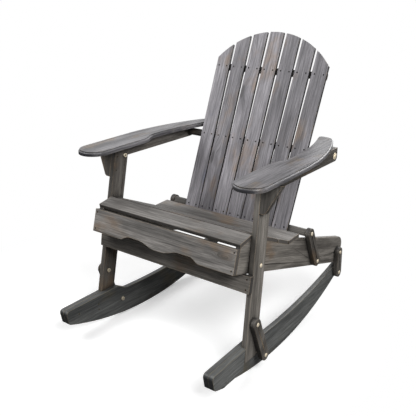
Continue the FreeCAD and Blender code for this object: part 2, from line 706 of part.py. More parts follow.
rocker_tip = (-s.rocker_tip_y, running_edge_z(-s.rocker_tip_y))
rocker_tip_top = (-s.rocker_tip_y - s.rocker_tip_lean, -s.rocker_top_z - s.rocker_tip_drop)
rocker_tail = (rocker_rear_y, running_edge_z(rocker_rear_y))
rocker_tail_top = (rocker_tail[0] + s.rocker_tail_lean, rocker_tail[1] + s.rocker_tail)
rocker_waist = (s.rocker_waist_y, running_edge_z(s.rocker_waist_y) + s.rocker_waist)
heel_lift = s.rocker_r - s.datum_z + s.block_heel_z
block_heel_y = s.rocker_mid_y - root(s.rocker_r * s.rocker_r - heel_lift * heel_lift)
block_end = s.leg_front_y - s.board_clear * 5
rocker_screws = [
    (Size(0), -s.rocker_top_z - s.screw_in * 3),
    (Size(0), -s.rocker_top_z - s.screw_in * 5),
    (-s.rocker_tip_y * 2 / 3, -s.rocker_top_z - s.screw_in * 3),
]
for side_name, side in SIDES:
    toe = turned(Z_AXIS, s.rocker_toe * side)
    rocker = new_body("rocker_" + side_name, at_datum(rocker_mid_x * side), toe)
    rocker_steps = [
        arc_to(*rocker_tail, s.rocker_r, True),
        line_to(*rocker_tail_top),
        arc_to(*rocker_waist, s.rocker_hollow_r, False),
        line_to(s.rocker_step_y, -s.rocker_top_z),
        line_to(*rocker_tip_top),
        line_to(*rocker_tip),
    ]
    rocker_holes = [
        (s.brace_foot_y, s.brace_foot_z, loose_hole_r),
        (tail_foot[0], tail_foot[1], loose_hole_r),
    ]
    rocker_pad = pad_board(rocker, "YZ", rocker_steps, rocker_holes, s.board_t)
    ends = [(0,) + rocker_tip, (0,) + rocker_tip_top, (0,) + rocker_tail_top]
    round_edges(
        rocker, rocker_pad, edges_near(rocker_pad, ends, X_AXIS), s.rocker_tip_r, "ends"
    )
    sink_screws(rocker, "YZ", rocker_screws, -s.board_t / 2 * side, side > 0)

    block_x = rocker_mid_x + s.board_t / cosine(s.rocker_toe)
    block = new_body("rocker_block_" + side_name, at_datum(block_x * side), toe)
    block_steps = [
        arc_to(block_heel_y, -s.block_heel_z, s.rocker_r, True),
        line_to(block_end - s.block_heel_z * tangent(s.leg_lean), -s.block_heel_z),
        line_to(block_end - s.rocker_top_z * tangent(s.leg_lean), -s.rocker_top_z),
        line_to(*rocker_tip_top),
        line_to(*rocker_tip),
    ]
    block_pad = pad_board(block, "YZ", block_steps, [], s.board_t)
    ends = [(0,) + rocker_tip, (0,) + rocker_tip_top]
    round_edges(block, block_pad, edges_near(block_pad, ends, X_AXIS), s.rocker_tip_r, "ends")

# Rear links, which hang the rockers from the seat rails, and back links

square_hole_r = s.bolt_r + s.board_clear
turning_hole_r = s.bolt_r + s.turn_clear
for side_name, side in SIDES:
    rear_link = new_body("rear_link_" + side_name, at_datum((rail_mid_x + s.board_t) * side))
    pad_link(
        rear_link,
        tail_top,
        tail_foot,
        (square_hole_r, loose_hole_r),
    )
    back_link = new_body("back_link_" + side_name, at_datum(link_mid_x * side))
    pad_link(
        back_link, (s.hip_y, s.hip_z), (s.heel_y, s.heel_z), (turning_hole_r, turning_hole_r)
    )

# Back slats, fanned, with an arched top

recline = turned(X_AXIS, -s.back_tilt)
arch_z = s.back_len - s.back_arch_r


def slat_edge_top(foot_x, head_x):
    """Where a slat's straight edge meets the arch."""
    slope = (head_x - foot_x) / s.back_len
    half = slope * foot_x - arch_z
    scale = slope * slope + 1
    rest = foot_x * foot_x + arch_z * arch_z - s.back_arch_r * s.back_arch_r
    up = (root(half * half - scale * rest) - half) / scale
    return (foot_x + slope * up, up)


foot_pitch = s.back_slat_foot_w + s.back_gap_foot
head_pitch = s.back_slat_head_w + s.back_gap_head
screw_rows = (s.back_foot, s.middle_bar_s, top_batten_s)
back_screws = []
for number in range(1, 8):
    offset = number - 4
    foot_x = foot_pitch * offset
    head_x = head_pitch * offset
    slat = new_body("back_slat_%d" % number, at_datum(Size(0), *on_back(Size(0), Size(0))), recline)
    left_foot = foot_x - s.back_slat_foot_w / 2
    right_foot = foot_x + s.back_slat_foot_w / 2
    slat_steps = [
        line_to(right_foot, Size(0)),
        line_to(*slat_edge_top(right_foot, head_x + s.back_slat_head_w / 2)),
        arc_to(*slat_edge_top(left_foot, head_x - s.back_slat_head_w / 2), s.back_arch_r, True),
        line_to(left_foot, Size(0)),
    ]
    pad_board(slat, "XZ", slat_steps, [], s.back_slat_t, lift=-s.back_slat_t / 2)
    spots = []
    for row in screw_rows:
        middle = foot_x + (head_x - foot_x) * row / s.back_len
        reach = s.back_slat_head_w / 2 - s.screw_in
        spots += [(middle - reach, row), (middle + reach, row)]
    sink_screws(slat, "XZ", spots)
    back_screws += spots

# Bars and batten behind the back slats


def add_bar(label, up, behind, depth, height, radius, half):
    place = on_back(up, behind)
    bar = new_body(label, at_datum(Size(0), *place), recline)
    steps = [
        line_to(depth / 2, -height / 2),
        line_to(depth / 2, height / 2),
        line_to(-depth / 2, height / 2),
        line_to(-depth / 2, -height / 2),
    ]
    pad = pad_board(bar, "YZ", steps, [], half * 2)
    corners = [(0, depth / 2 * a, height / 2 * b) for a in (-1, 1) for b in (-1, 1)]
    round_edges(bar, pad, edges_near(pad, corners, X_AXIS), radius, "edges")
    return bar


lower_bar_half = s.seat_half_w
middle_bar_half = arm_rail_in_x - s.run_gap
batten_half = s.back_slat_head_w * 3.5 + s.back_gap_head * 3 - s.batten_size / 2
lower_bar = add_bar(
    "back_lower_bar", s.back_foot, bar_behind, s.bar_depth, s.bar_height, s.bar_r, lower_bar_half
)
middle_bar = add_bar(
    "back_middle_bar", s.middle_bar_s, bar_behind, s.bar_depth, s.bar_height, s.bar_r, middle_bar_half
)
add_bar(
    "back_top_batten",
    top_batten_s,
    s.back_slat_t + s.batten_size / 2,
    s.batten_size,
    s.batten_size,
    s.slat_edge_r,
    batten_half,
)
for bar, half in ((lower_bar, lower_bar_half), (middle_bar, middle_bar_half)):
    for name, side in SIDES:
        sink_bore(bar, s.bolt_bite, half * side, name + "_bore", side < 0)

# Arms with a raised top, and the rails under them

waist_r = (s.arm_waist_run * s.arm_waist_run + s.arm_waist_in * s.arm_waist_in) / (s.arm_waist_in * 4)


def arm_outline(side, inset):
    """The arm seen from above, set in by the same distance all round."""
    inner_x = s.arm_mid_x - s.arm_nose_r
    outer_x = s.arm_mid_x + s.arm_nose_r
    waist_end_y = s.arm_waist_y + s.arm_waist_run
    sweep_x = outer_x - s.arm_sweep_r
    first_r = waist_r - inset
    second_r = waist_r + inset
    share = first_r / (waist_r * 2)
    middle = (
        inner_x + waist_r + (s.arm_waist_in - waist_r * 2) * share,
        s.arm_waist_y + s.arm_waist_run * share,
    )
    inner_x_mid = inner_x + s.arm_waist_in - s.arm_inner_r
    corner_reach = s.arm_inner_r + s.arm_tail_r
    corner_run = s.arm_rear_y - s.arm_tail_r - waist_end_y
    corner_x = root(corner_reach * corner_reach - corner_run * corner_run)
    corner_share = (s.arm_inner_r + inset) / corner_reach
    heel_reach = s.arm_sweep_r - s.arm_heel_r
    heel_run = s.arm_rear_y - s.arm_heel_r - s.arm_sweep_y
    heel_x = root(heel_reach * heel_reach - heel_run * heel_run)
    heel_share = (s.arm_sweep_r - inset) / heel_reach
    right = side > 0
    nose_r = s.arm_nose_r - inset
    rear_y = s.arm_rear_y - inset
    heel = (sweep_x + heel_x * heel_share, s.arm_sweep_y + heel_run * heel_share)
    corner = (inner_x_mid + corner_x * corner_share, waist_end_y + corner_run * corner_share)
    return [
        arc_to(s.arm_mid_x * side, s.arm_front_y - nose_r, nose_r, right),
        arc_to((outer_x - inset) * side, s.arm_front_y, nose_r, right),
        line_to((outer_x - inset) * side, s.arm_sweep_y),
        arc_to(heel[0] * side, heel[1], s.arm_sweep_r - inset, right),
        arc_to((sweep_x + heel_x) * side, rear_y, s.arm_heel_r - inset, right),
        line_to((inner_x_mid + corner_x) * side, rear_y),
        arc_to(corner[0] * side, corner[1], s.arm_tail_r - inset, right),
        arc_to(
            (inner_x + s.arm_waist_in + inset) * side, waist_end_y, s.arm_inner_r + inset, not right
        ),
        arc_to(middle[0] * side, middle[1], second_r, not right),
        arc_to((inner_x + inset) * side, s.arm_waist_y, first_r, right),
        line_to((inner_x + inset) * side, s.arm_front_y),
    ]


def under_arm(y):
    """Height of the arms' underside, which rises to the rear."""
    return s.arm_under_z + (y - s.leg_front_y) * tangent(s.arm_rise)


for side_name, side in SIDES:
    arm_base = at_datum(Size(0), Size(0), under_arm(Size(0)))
    arm = new_body("arm_" + side_name, arm_base, turned(X_AXIS, s.arm_rise))
    steps = arm_outline(side, Size(0))
    arm_pad = pad_board(arm, "XY", steps, [], s.arm_t, both_ways=False)
    rims = [
        "Edge%d" % number
        for number, edge in enumerate(arm_pad.Shape.Edges, start=1)
        if abs(edge.BoundBox.ZMax - float(s.arm_t)) < 1e-6 and edge.BoundBox.ZLength < 1e-6
    ]
    round_edges(arm, arm_pad, rims, s.arm_edge_r, "rim")
    steps = arm_outline(side, s.arm_cap_inset)
    sketch = new_sketch(arm, "XY", arm.Name + "_cap_outline", s.arm_t)
    draw_outline(sketch, steps)
    cap = arm.newObject("PartDesign::Pad", arm.Name + "_cap")
    cap.Profile = sketch
    cap.setExpression("Length", s.arm_cap_t.formula)
    doc.recompute()

    arm_rail = new_body("arm_rail_" + side_name, at_datum(arm_rail_mid_x * side))
    front_y = s.arm_bolt_y - s.arm_rail_nose
    rear_y = shoulder[0] + s.arm_rail_tail
    rail_steps = [
        line_to(rear_y, arm_rail_bottom),
        line_to(rear_y, under_arm(rear_y)),
        line_to(front_y, under_arm(front_y)),
        line_to(front_y, arm_rail_bottom),
    ]
    rail_holes = [
        (s.arm_bolt_y, s.arm_bolt_z, turning_hole_r),
        (shoulder[0], shoulder[1], s.bolt_r + s.open_clear),
    ]
    rail_pad = pad_board(arm_rail, "YZ", rail_steps, rail_holes, s.board_t)
    corners = [(0, front_y, arm_rail_bottom), (0, rear_y, arm_rail_bottom)]
    round_edges(
        arm_rail, rail_pad, edges_near(rail_pad, corners, X_AXIS), s.arm_rail_corner_r, "ends"
    )

# Bolts, each drawn outwards along its own axis from the face under its head


def primitive(kind, name, z, **lengths):
    item = doc.addObject(kind, name)
    for prop, size in lengths.items():
        item.setExpression(prop, size.formula)
    item.setExpression("Placement.Base.z", as_size(z).formula)
    return item


def add_bolt(name, side, y, z, outer_x, inner_x, nut=True, washer=False, gap=Size(0)):
    """A round-headed bolt through the boards between two faces."""
    grip = outer_x - inner_x
    items = [
        primitive("Part::Cylinder", name + "_shank", -grip, Radius=s.bolt_r, Height=grip + gap),
        primitive(
            "Part::Cone",
            name + "_head",
            gap,
            Radius1=s.bolt_head_r,
            Radius2=s.bolt_head_r * 2 / 3,
            Height=s.bolt_head_h,
        ),
    ]
    if nut:
        nut_item = primitive("Part::Prism", name + "_nut", -grip - s.nut_t, Circumradius=s.nut_r, Height=s.nut_t)
        nut_item.Polygon = 6
        items.append(nut_item)
    if washer:
        items.append(
            primitive(
                "Part::Cylinder", name + "_washer", gap - s.washer_t, Radius=s.washer_r, Height=s.washer_t
            )
        )
    bolt = doc.addObject("Part::MultiFuse", name)
    bolt.Shapes = items
    spin = turned(Y_AXIS, 90 * side)
    base = at_datum(outer_x * side, y, z)
    bolt.Placement = FreeCAD.Placement(FreeCAD.Vector(*[float(b) for b in base]), spin)
    for axis, size in zip("xyz", base):
        bolt.setExpression("Placement.Base." + axis, size.formula)
    return bolt


def group(label, items):
    compound = doc.addObject("Part::Compound", label)
    compound.Label = label
    compound.Links = items
    return compound


def rocker_face_x(y, layers):
    return (
        rocker_mid_x
        + s.board_t / 2 / cosine(s.rocker_toe) * layers
        - tangent(s.rocker_toe) * y
    )


frame_bolts = []
back_bolts = []
rail_in_x = s.seat_half_w - s.board_t
link_out_x = s.seat_half_w + s.run_gap + s.board_t
splay_gap = s.nut_r * tangent(s.leg_splay) + s.board_clear
shoulder_out_x = arm_rail_in_x + s.board_t + s.washer_t
for side_name, side in SIDES:
    frame_bolts += [
        add_bolt(
            "seat_bolt_" + side_name, side, s.seat_bolt_y, s.seat_bolt_z,
            leg_face_x(s.seat_bolt_z, 1) + splay_gap, rail_in_x,
        ),
        add_bolt(
            "arm_bolt_" + side_name, side, s.arm_bolt_y, s.arm_bolt_z,
            arm_rail_in_x + s.board_t, leg_face_x(s.arm_bolt_z, -1) - splay_gap, gap=s.run_gap,
        ),
        add_bolt(
            "brace_top_bolt_" + side_name, side, s.brace_top_y, s.brace_top_z,
            leg_face_x(s.brace_top_z, 3) + splay_gap, leg_face_x(s.brace_top_z, -1) - splay_gap,
        ),
        add_bolt(
            "brace_foot_bolt_" + side_name, side, s.brace_foot_y, s.brace_foot_z,
            leg_face_x(s.brace_foot_z, 3) + splay_gap, rocker_face_x(s.brace_foot_y, -1) - s.lap_gap,
        ),
        add_bolt(
            "tail_top_bolt_" + side_name, side, tail_top[0], tail_top[1],
            s.seat_half_w + s.board_t, rail_in_x,
        ),
        add_bolt(
            "tail_foot_bolt_" + side_name, side, tail_foot[0], tail_foot[1],
            s.seat_half_w + s.board_t, rocker_face_x(tail_foot[0], -1) - s.lap_gap,
        ),
        add_bolt(
            "heel_bolt_" + side_name, side, s.heel_y, s.heel_z, link_out_x, rail_in_x, gap=s.run_gap
        ),
    ]
    back_bolts += [
        add_bolt(
            "hip_bolt_" + side_name, side, s.hip_y, s.hip_z,
            link_out_x, lower_bar_half - s.bolt_bite, nut=False, gap=s.run_gap,
        ),
        add_bolt(
            "shoulder_bolt_" + side_name, side, shoulder[0], shoulder[1],
            shoulder_out_x, middle_bar_half - s.bolt_bite, nut=False, washer=True, gap=s.run_gap,
        ),
    ]
group("frame_bolts", frame_bolts)
group("back_bolts", back_bolts)

# Screws, sunk below the wood that they hold


def add_screws(name, spots, placement, turn):
    screws = []
    for number, spot in enumerate(spots, start=1):
        screw = doc.addObject("Part::Prism", "%s_%d" % (name, number))
        screw.Polygon = 8
        screw.setExpression("Circumradius", s.screw_r.formula)
        screw.setExpression("Height", s.screw_t.formula)
        place = FreeCAD.Placement(FreeCAD.Vector(*[float(v) for v in spot]), turn)
        screw.Placement = placement.multiply(place)
        screws.append(screw)
    return screws


inward = turned(X_AXIS, -90)
back_place = doc.getObject("back_slat_4").Placement
group(
    "back_screws",
    add_screws("back_screw", [(x, s.screw_sink, z) for x, z in back_screws], back_place, inward),
)
frame_screws = add_screws(
    "apron_screw", [(x, s.screw_sink, z) for x, z in apron_screws], apron.Placement, inward
)
frame_screws += add_screws(
    "stretcher_screw",
    [(x, stretcher_front + s.screw_sink, z) for x, z in stretcher_screws],
    stretcher.Placement,
    inward,
)
for side_name, side in SIDES:
    outward = turned(Y_AXIS, 90 * side)
    face_x = (s.screw_sink - s.board_t / 2) * side
    for piece, spots in (("rocker_", rocker_screws), ("front_leg_", leg_screws)):
        frame_screws += add_screws(
            piece + side_name + "_screw",
            [(face_x, y, z) for y, z in spots],
            doc.getObject(piece + side_name).Placement,
            outward,
        )
group("frame_screws", frame_screws)

doc.recompute()

# Check every object and write one file for each sub-part

for item in doc.Objects:
    if any(state in item.State for state in ("Invalid", "Error")):
        raise RuntimeError("%s: %s" % (item.Label, item.State))

os.makedirs("parts", exist_ok=True)
nodes = [item for item in doc.Objects if item.TypeId in ("PartDesign::Body", "Part::Compound")]
for node in nodes:
    if node.Shape.isNull() or not node.Shape.isValid():
        raise RuntimeError("%s has no valid shape" % node.Label)
    node.Shape.exportStep("parts/%s.step" % node.Label)
print("%d sub-parts written" % len(nodes))
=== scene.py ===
"""Looks of a rocking adirondack chair: stained boards, brass bolts and a plain studio."""

import logging
import math
from collections.abc import Callable, Sequence
from dataclasses import dataclass, replace
from enum import Enum
from typing import NamedTuple

import bmesh
import bpy
from mathutils import Matrix, Vector

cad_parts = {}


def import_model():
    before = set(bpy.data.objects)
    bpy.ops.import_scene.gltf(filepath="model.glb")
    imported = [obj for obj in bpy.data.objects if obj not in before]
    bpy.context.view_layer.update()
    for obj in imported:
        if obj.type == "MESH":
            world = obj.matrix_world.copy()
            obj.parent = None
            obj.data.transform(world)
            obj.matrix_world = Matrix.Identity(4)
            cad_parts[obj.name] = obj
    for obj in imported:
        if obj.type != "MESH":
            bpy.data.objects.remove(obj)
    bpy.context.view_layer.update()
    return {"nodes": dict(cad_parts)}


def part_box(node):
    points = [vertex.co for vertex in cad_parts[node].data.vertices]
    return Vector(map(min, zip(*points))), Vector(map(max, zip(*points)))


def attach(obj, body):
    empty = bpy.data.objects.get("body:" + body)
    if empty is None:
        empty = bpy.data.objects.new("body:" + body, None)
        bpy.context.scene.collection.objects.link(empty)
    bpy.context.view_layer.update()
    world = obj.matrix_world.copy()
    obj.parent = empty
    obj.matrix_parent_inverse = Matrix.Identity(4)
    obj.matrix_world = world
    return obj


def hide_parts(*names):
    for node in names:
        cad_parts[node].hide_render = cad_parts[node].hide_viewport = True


LOG = logging.getLogger("rocking_chair")
Colour = tuple[float, float, float, float]
Triple = tuple[float, float, float]
Socket = bpy.types.NodeSocket
Ring = list[bmesh.types.BMVert]
WHITE: Colour = (1.0, 1.0, 1.0, 1.0)
# Near-black colour of the painted shade in the seams between boards.
SEAM_SHADE: Colour = (0.006, 0.0058, 0.0055, 1.0)


def shade(red: float, green: float, blue: float) -> Colour:
    """Turn a colour as a screen shows it, 0 to 255, into a linear one.

    Args:
        red: Red part, 0 to 255.
        green: Green part, 0 to 255.
        blue: Blue part, 0 to 255.

    Returns:
        The linear colour with an alpha of 1.
    """
    parts = []
    for value in (red, green, blue):
        part = value / 255.0
        parts.append(part / 12.92 if part <= 0.04045 else ((part + 0.055) / 1.055) ** 2.4)
    return (parts[0], parts[1], parts[2], 1.0)


class Span(NamedTuple):
    """A range that a value is mapped from, and what it becomes at both ends."""

    low: float
    high: float
    to_low: float = 0.0
    to_high: float = 1.0


class NodeSheet:
    """Adds nodes to one tree and joins them."""

    def __init__(self, tree: bpy.types.NodeTree) -> None:
        """Start on an empty tree.

        Args:
            tree: The tree to fill.
        """
        self.tree = tree
        self.count = 0

    def add(self, kind: str, feeds: dict | None = None, **settings: object) -> bpy.types.Node:
        """Add a node, set it up and feed its inputs.

        Args:
            kind: Blender's name of the node type.
            feeds: Input names or numbers, each with a value or a socket.
            **settings: Properties of the node.

        Returns:
            The new node.
        """
        node = self.tree.nodes.new(kind)
        row, column = divmod(self.count, 12)
        node.location = (column * 190, -row * 320)
        self.count += 1
        for name, value in settings.items():
            setattr(node, name, value)
        for name, value in (feeds or {}).items():
            self.feed(node.inputs[name], value)
        return node

    def feed(self, target: Socket, value: object) -> None:
        """Join a socket to an input, or set the input's value.

        Args:
            target: The input.
            value: A socket to join, or a plain value.
        """
        if isinstance(value, bpy.types.NodeSocket):
            self.tree.links.new(value, target)
        else:
            target.default_value = value

    def maths(self, operation: str, *values: object) -> Socket:
        """Work out one value from others.

        Args:
            operation: Name of the operation, such as MULTIPLY.
            *values: Numbers or sockets.

        Returns:
            The result's socket.
        """
        node = self.add("ShaderNodeMath", dict(enumerate(values)), operation=operation)
        return node.outputs[0]

    def vectors(self, operation: str, first: object, second: object) -> Socket:
        """Work out a vector, or one value, from two vectors.

        Args:
            operation: Name of the operation, such as ADD or DISTANCE.
            first: A vector or a socket.
            second: A vector or a socket.

        Returns:
            The result's socket.
        """
        node = self.add("ShaderNodeVectorMath", {0: first, 1: second}, operation=operation)
        single = operation in ("DOT_PRODUCT", "DISTANCE")
        return node.outputs["Value" if single else "Vector"]

    def spread(self, value: Socket, span: Span, shift: float = 0.0) -> Socket:
        """Map a range of values to another one, smoothly and clamped.

        Args:
            value: The socket to map.
            span: The range and what it becomes.
            shift: Moves the range.

        Returns:
            The mapped value's socket.
        """
        feeds = {0: value, 1: span.low + shift, 2: span.high + shift}
        feeds |= {3: span.to_low, 4: span.to_high}
        return self.add("ShaderNodeMapRange", feeds, interpolation_type="SMOOTHSTEP").outputs[0]

    def mix(self, factor: object, first: object, second: object, blend: str = "MIX") -> Socket:
        """Mix two colours.

        Args:
            factor: How much of the second colour shows.
            first: The colour at 0.
            second: The colour at 1.
            blend: Name of the way they are mixed.

        Returns:
            The mixed colour's socket.
        """
        settings = {"data_type": "RGBA", "blend_type": blend, "clamp_factor": True}
        return self.add("ShaderNodeMix", {0: factor, 6: first, 7: second}, **settings).outputs[2]

    def cover(self, colour: Socket, mask: Socket, strength: float, second: Colour) -> Socket:
        """Lay a second colour over the first where a mask is high.

        Args:
            colour: The colour so far.
            mask: Where the second colour lies.
            strength: Its share where the mask is 1.
            second: The second colour.

        Returns:
            The mixed colour's socket.
        """
        return self.mix(self.maths("MULTIPLY", mask, strength), colour, second)

    def grey(self, value: Socket) -> Socket:
        """Turn a value into a grey."""
        return self.add("ShaderNodeCombineColor", {0: value, 1: value, 2: value}).outputs[0]

    def noise(self, vector: Socket, stretch: Triple, detail: float, rough: float) -> Socket:
        """Add a noise that is stretched along a board.

        Args:
            vector: The board's coordinates in metres.
            stretch: Turns per metre along, across and through the board.
            detail: Number of finer layers.
            rough: Weight of the finer layers.

        Returns:
            The noise's value.
        """
        scaled = self.vectors("MULTIPLY", vector, stretch)
        feeds = {"Vector": scaled, "Scale": 1.0, "Detail": detail, "Roughness": rough}
        return self.add("ShaderNodeTexNoise", feeds).outputs[0]

    def place(self, group: bpy.types.NodeTree, feeds: dict) -> dict[str, Socket]:
        """Place a shared group and feed it.

        Args:
            group: The shared group.
            feeds: Its inputs by name.

        Returns:
            Its outputs by name.
        """
        node = self.add("ShaderNodeGroup", feeds, node_tree=group)
        return {socket.name: socket for socket in node.outputs}

    def surface(self, height: Socket, strength: float, depth: float, feeds: dict) -> None:
        """Close a material with its bump, its shader and its output.

        Args:
            height: The height of the surface.
            strength: How strong the bump is.
            depth: The height's size in metres.
            feeds: The shader's inputs by name.
        """
        relief = {"Height": height, "Strength": strength, "Distance": depth}
        bump = self.add("ShaderNodeBump", relief).outputs[0]
        skin = self.add("ShaderNodeBsdfPrincipled", {**feeds, "Normal": bump})
        self.add("ShaderNodeOutputMaterial", {"Surface": skin.outputs[0]})


def new_material(name: str) -> tuple[bpy.types.Material, NodeSheet]:
    """Start a material with an empty node tree.

    Args:
        name: Name of the material.

    Returns:
        The material and the sheet to fill.
    """
    made = bpy.data.materials.new(name)
    made.use_nodes = True
    made.node_tree.nodes.clear()
    return made, NodeSheet(made.node_tree)


def new_group(name: str, inputs: dict, outputs: tuple[str, ...]) -> tuple[NodeSheet, dict, dict]:
    """Start a shader node group with named sockets.

    Args:
        name: Name of the group.
        inputs: Input names, each with a default number, or "vector" for a vector.
        outputs: Names of the values that it puts out.

    Returns:
        The sheet to fill, the group's inputs by name, and the inputs of its output node by name.
    """
    tree = bpy.data.node_groups.new(name, "ShaderNodeTree")
    for label, default in inputs.items():
        kind = "NodeSocketVector" if default == "vector" else "NodeSocketFloat"
        socket = tree.interface.new_socket(name=label, in_out="INPUT", socket_type=kind)
        if default != "vector":
            socket.default_value = default
    for label in outputs:
        tree.interface.new_socket(name=label, in_out="OUTPUT", socket_type="NodeSocketFloat")
    sheet = NodeSheet(tree)
    entry = sheet.add("NodeGroupInput")
    leave = sheet.add("NodeGroupOutput")
    return sheet, {s.name: s for s in entry.outputs}, {s.name: s for s in leave.inputs}


@dataclass
class SharedEffects:
    """The shader groups that more than one material uses."""

    grain: bpy.types.NodeTree
    knots: bpy.types.NodeTree
    wear: bpy.types.NodeTree
    ends: bpy.types.NodeTree
    seams: bpy.types.NodeTree
    plate: bpy.types.NodeTree

    @classmethod
    def build(cls) -> "SharedEffects":
        """Build all groups once.

        Returns:
            The groups.
        """
        return cls(
            grain=cls.board_grain(), knots=cls.knot_spots(), wear=cls.edge_wear(),
            ends=cls.sawn_ends(), seams=cls.dark_seams(), plate=cls.plate_marks(),
        )

    @staticmethod
    def knot_spots() -> bpy.types.NodeTree:
        """Build the group for knots and the way the grain bends round them.

        Returns:
            A group that gives a knot mask, a halo round it and a shift across the board.
        """
        cells_per_metre = (4.2, 15.0, 0.0)
        least_size, size_range = 0.06, 0.25
        knot_fade, halo_fade = Span(0.55, 1.0, 1.0, 0.0), Span(0.6, 3.4, 1.0, 0.0)
        bend = 0.016
        inputs = {"Board": "vector", "Seed": 0.0, "Share": 0.3}
        sheet, given, leave = new_group("knot_spots", inputs, ("Knot", "Halo", "Shift"))
        moved = sheet.vectors("MULTIPLY", given["Board"], cells_per_metre)
        seeds = {"X": given["Seed"], "Y": given["Seed"]}
        moved = sheet.vectors("ADD", moved, sheet.add("ShaderNodeCombineXYZ", seeds).outputs[0])
        feeds = {"Vector": moved, "Scale": 1.0}
        cell = sheet.add("ShaderNodeTexVoronoi", feeds, voronoi_dimensions="2D").outputs
        chance = sheet.add("ShaderNodeSeparateColor", {0: cell["Color"]}).outputs[0]
        present = sheet.maths("LESS_THAN", chance, given["Share"])
        size = sheet.maths("MULTIPLY_ADD", chance, size_range, least_size)
        near = sheet.maths("DIVIDE", cell["Distance"], size)
        halo = sheet.maths("MULTIPLY", sheet.spread(near, halo_fade), present)
        sheet.feed(leave["Knot"], sheet.maths("MULTIPLY", sheet.spread(near, knot_fade), present))
        sheet.feed(leave["Halo"], halo)
        sheet.feed(leave["Shift"], sheet.maths("MULTIPLY", halo, bend))
        return sheet.tree

    @staticmethod
    def board_grain() -> bpy.types.NodeTree:
        """Build the group for fibres, growth lines and patches of stain.

        Returns:
            A group that gives fine fibres, dark streaks, growth lines, broad patches, blooms of
            another colour and a height.
        """
        seed_along, wander_width, line_sharpness = 1.7, 0.075, 1.6
        inputs = {"Board": "vector", "Seed": 0.0, "Shift": 0.0, "Lines": 62.0}
        outputs = ("Fibre", "Streak", "Figure", "Patch", "Bloom", "Height")
        sheet, given, leave = new_group("board_grain", inputs, outputs)
        along = sheet.maths("MULTIPLY", given["Seed"], seed_along)
        shifts = {"X": along, "Y": given["Shift"], "Z": given["Seed"]}
        offset = sheet.add("ShaderNodeCombineXYZ", shifts).outputs[0]
        board = sheet.vectors("ADD", given["Board"], offset)
        fibre = sheet.noise(board, (11.0, 330.0, 330.0), detail=3.0, rough=0.65)
        pores = sheet.noise(board, (30.0, 1100.0, 1100.0), detail=2.0, rough=0.5)
        streak = sheet.noise(board, (5.5, 215.0, 215.0), detail=3.0, rough=0.6)
        wander = sheet.noise(board, (2.2, 16.0, 16.0), detail=2.0, rough=0.5)
        patch = sheet.noise(board, (3.2, 21.0, 21.0), detail=4.0, rough=0.55)
        bloom = sheet.noise(board, (5.5, 9.0, 9.0), detail=3.0, rough=0.6)
        across = sheet.add("ShaderNodeSeparateXYZ", {0: board}).outputs[1]
        ring = sheet.maths("MULTIPLY_ADD", wander, wander_width, across)
        phase = sheet.maths("MULTIPLY", ring, sheet.maths("MULTIPLY", given["Lines"], math.tau))
        wave = sheet.maths("MULTIPLY_ADD", sheet.maths("SINE", phase), 0.5, 0.5)
        figure = sheet.maths("POWER", wave, line_sharpness)
        height = sheet.maths("MULTIPLY_ADD", fibre, 0.6, sheet.maths("MULTIPLY", pores, 0.5))
        height = sheet.maths("MULTIPLY_ADD", figure, 0.35, height)
        fine = sheet.maths("MULTIPLY_ADD", pores, 0.35, sheet.maths("MULTIPLY", fibre, 0.65))
        for name, value in zip(outputs, (fine, streak, figure, patch, bloom, height)):
            sheet.feed(leave[name], value)
        return sheet.tree

    @staticmethod
    def edge_wear() -> bpy.types.NodeTree:
        """Build the group for edges where the stain is rubbed through.

        Returns:
            A group that gives a mask of worn edges.
        """
        turn_away, gaps, gap_share = Span(0.995, 0.88), Span(0.0, 0.14), 0.72
        inputs = {"Board": "vector", "Seed": 0.0, "Width": 0.0021, "Amount": 0.6}
        sheet, given, leave = new_group("edge_wear", inputs, ("Worn",))
        rounded = sheet.add("ShaderNodeBevel", {"Radius": given["Width"]}, samples=6).outputs[0]
        flat = sheet.add("ShaderNodeNewGeometry").outputs["Normal"]
        edge = sheet.spread(sheet.vectors("DOT_PRODUCT", rounded, flat), turn_away)
        place = sheet.vectors("ADD", given["Board"], given["Seed"])
        breaks = sheet.noise(place, (26.0, 60.0, 60.0), detail=4.0, rough=0.65)
        kept = sheet.maths("SUBTRACT", 1.0, given["Amount"])
        shown = sheet.maths("SUBTRACT", breaks, sheet.maths("MULTIPLY", kept, gap_share))
        sheet.feed(leave["Worn"], sheet.maths("MULTIPLY", edge, sheet.spread(shown, gaps)))
        return sheet.tree

    @staticmethod
    def sawn_ends() -> bpy.types.NodeTree:
        """Build the group that tells the faces across one direction from the others.

        Returns:
            A group that gives a mask of end grain.
        """
        facing_along = Span(0.55, 0.9)
        inputs = {"Side": "vector", "Along": "vector"}
        sheet, given, leave = new_group("sawn_ends", inputs, ("End",))
        facing = sheet.vectors("DOT_PRODUCT", given["Side"], given["Along"])
        sheet.feed(leave["End"], sheet.spread(sheet.maths("ABSOLUTE", facing), facing_along))
        return sheet.tree

    @staticmethod
    def dark_seams() -> bpy.types.NodeTree:
        """Build the group for painted shade in the seams where boards meet, from ambient occlusion
        broken up by noise.

        Returns:
            A group that gives a mask of painted shade in the seams.
        """
        smudge_share, closed_in = 0.3, Span(1.06, 0.58)
        inputs = {"Board": "vector", "Seed": 0.0, "Reach": 0.03}
        sheet, given, leave = new_group("dark_seams", inputs, ("Seam",))
        reach = {"Distance": given["Reach"]}
        # Ambient occlusion finds the closed-in seams, which are painted dark as shade.
        open_sky = sheet.add("ShaderNodeAmbientOcclusion", reach, samples=6).outputs["AO"]
        place = sheet.vectors("ADD", given["Board"], given["Seed"])
        smudge = sheet.noise(place, (40.0, 40.0, 40.0), detail=3.0, rough=0.6)
        edge = sheet.maths("MULTIPLY_ADD", smudge, smudge_share, open_sky)
        sheet.feed(leave["Seam"], sheet.spread(edge, closed_in))
        return sheet.tree

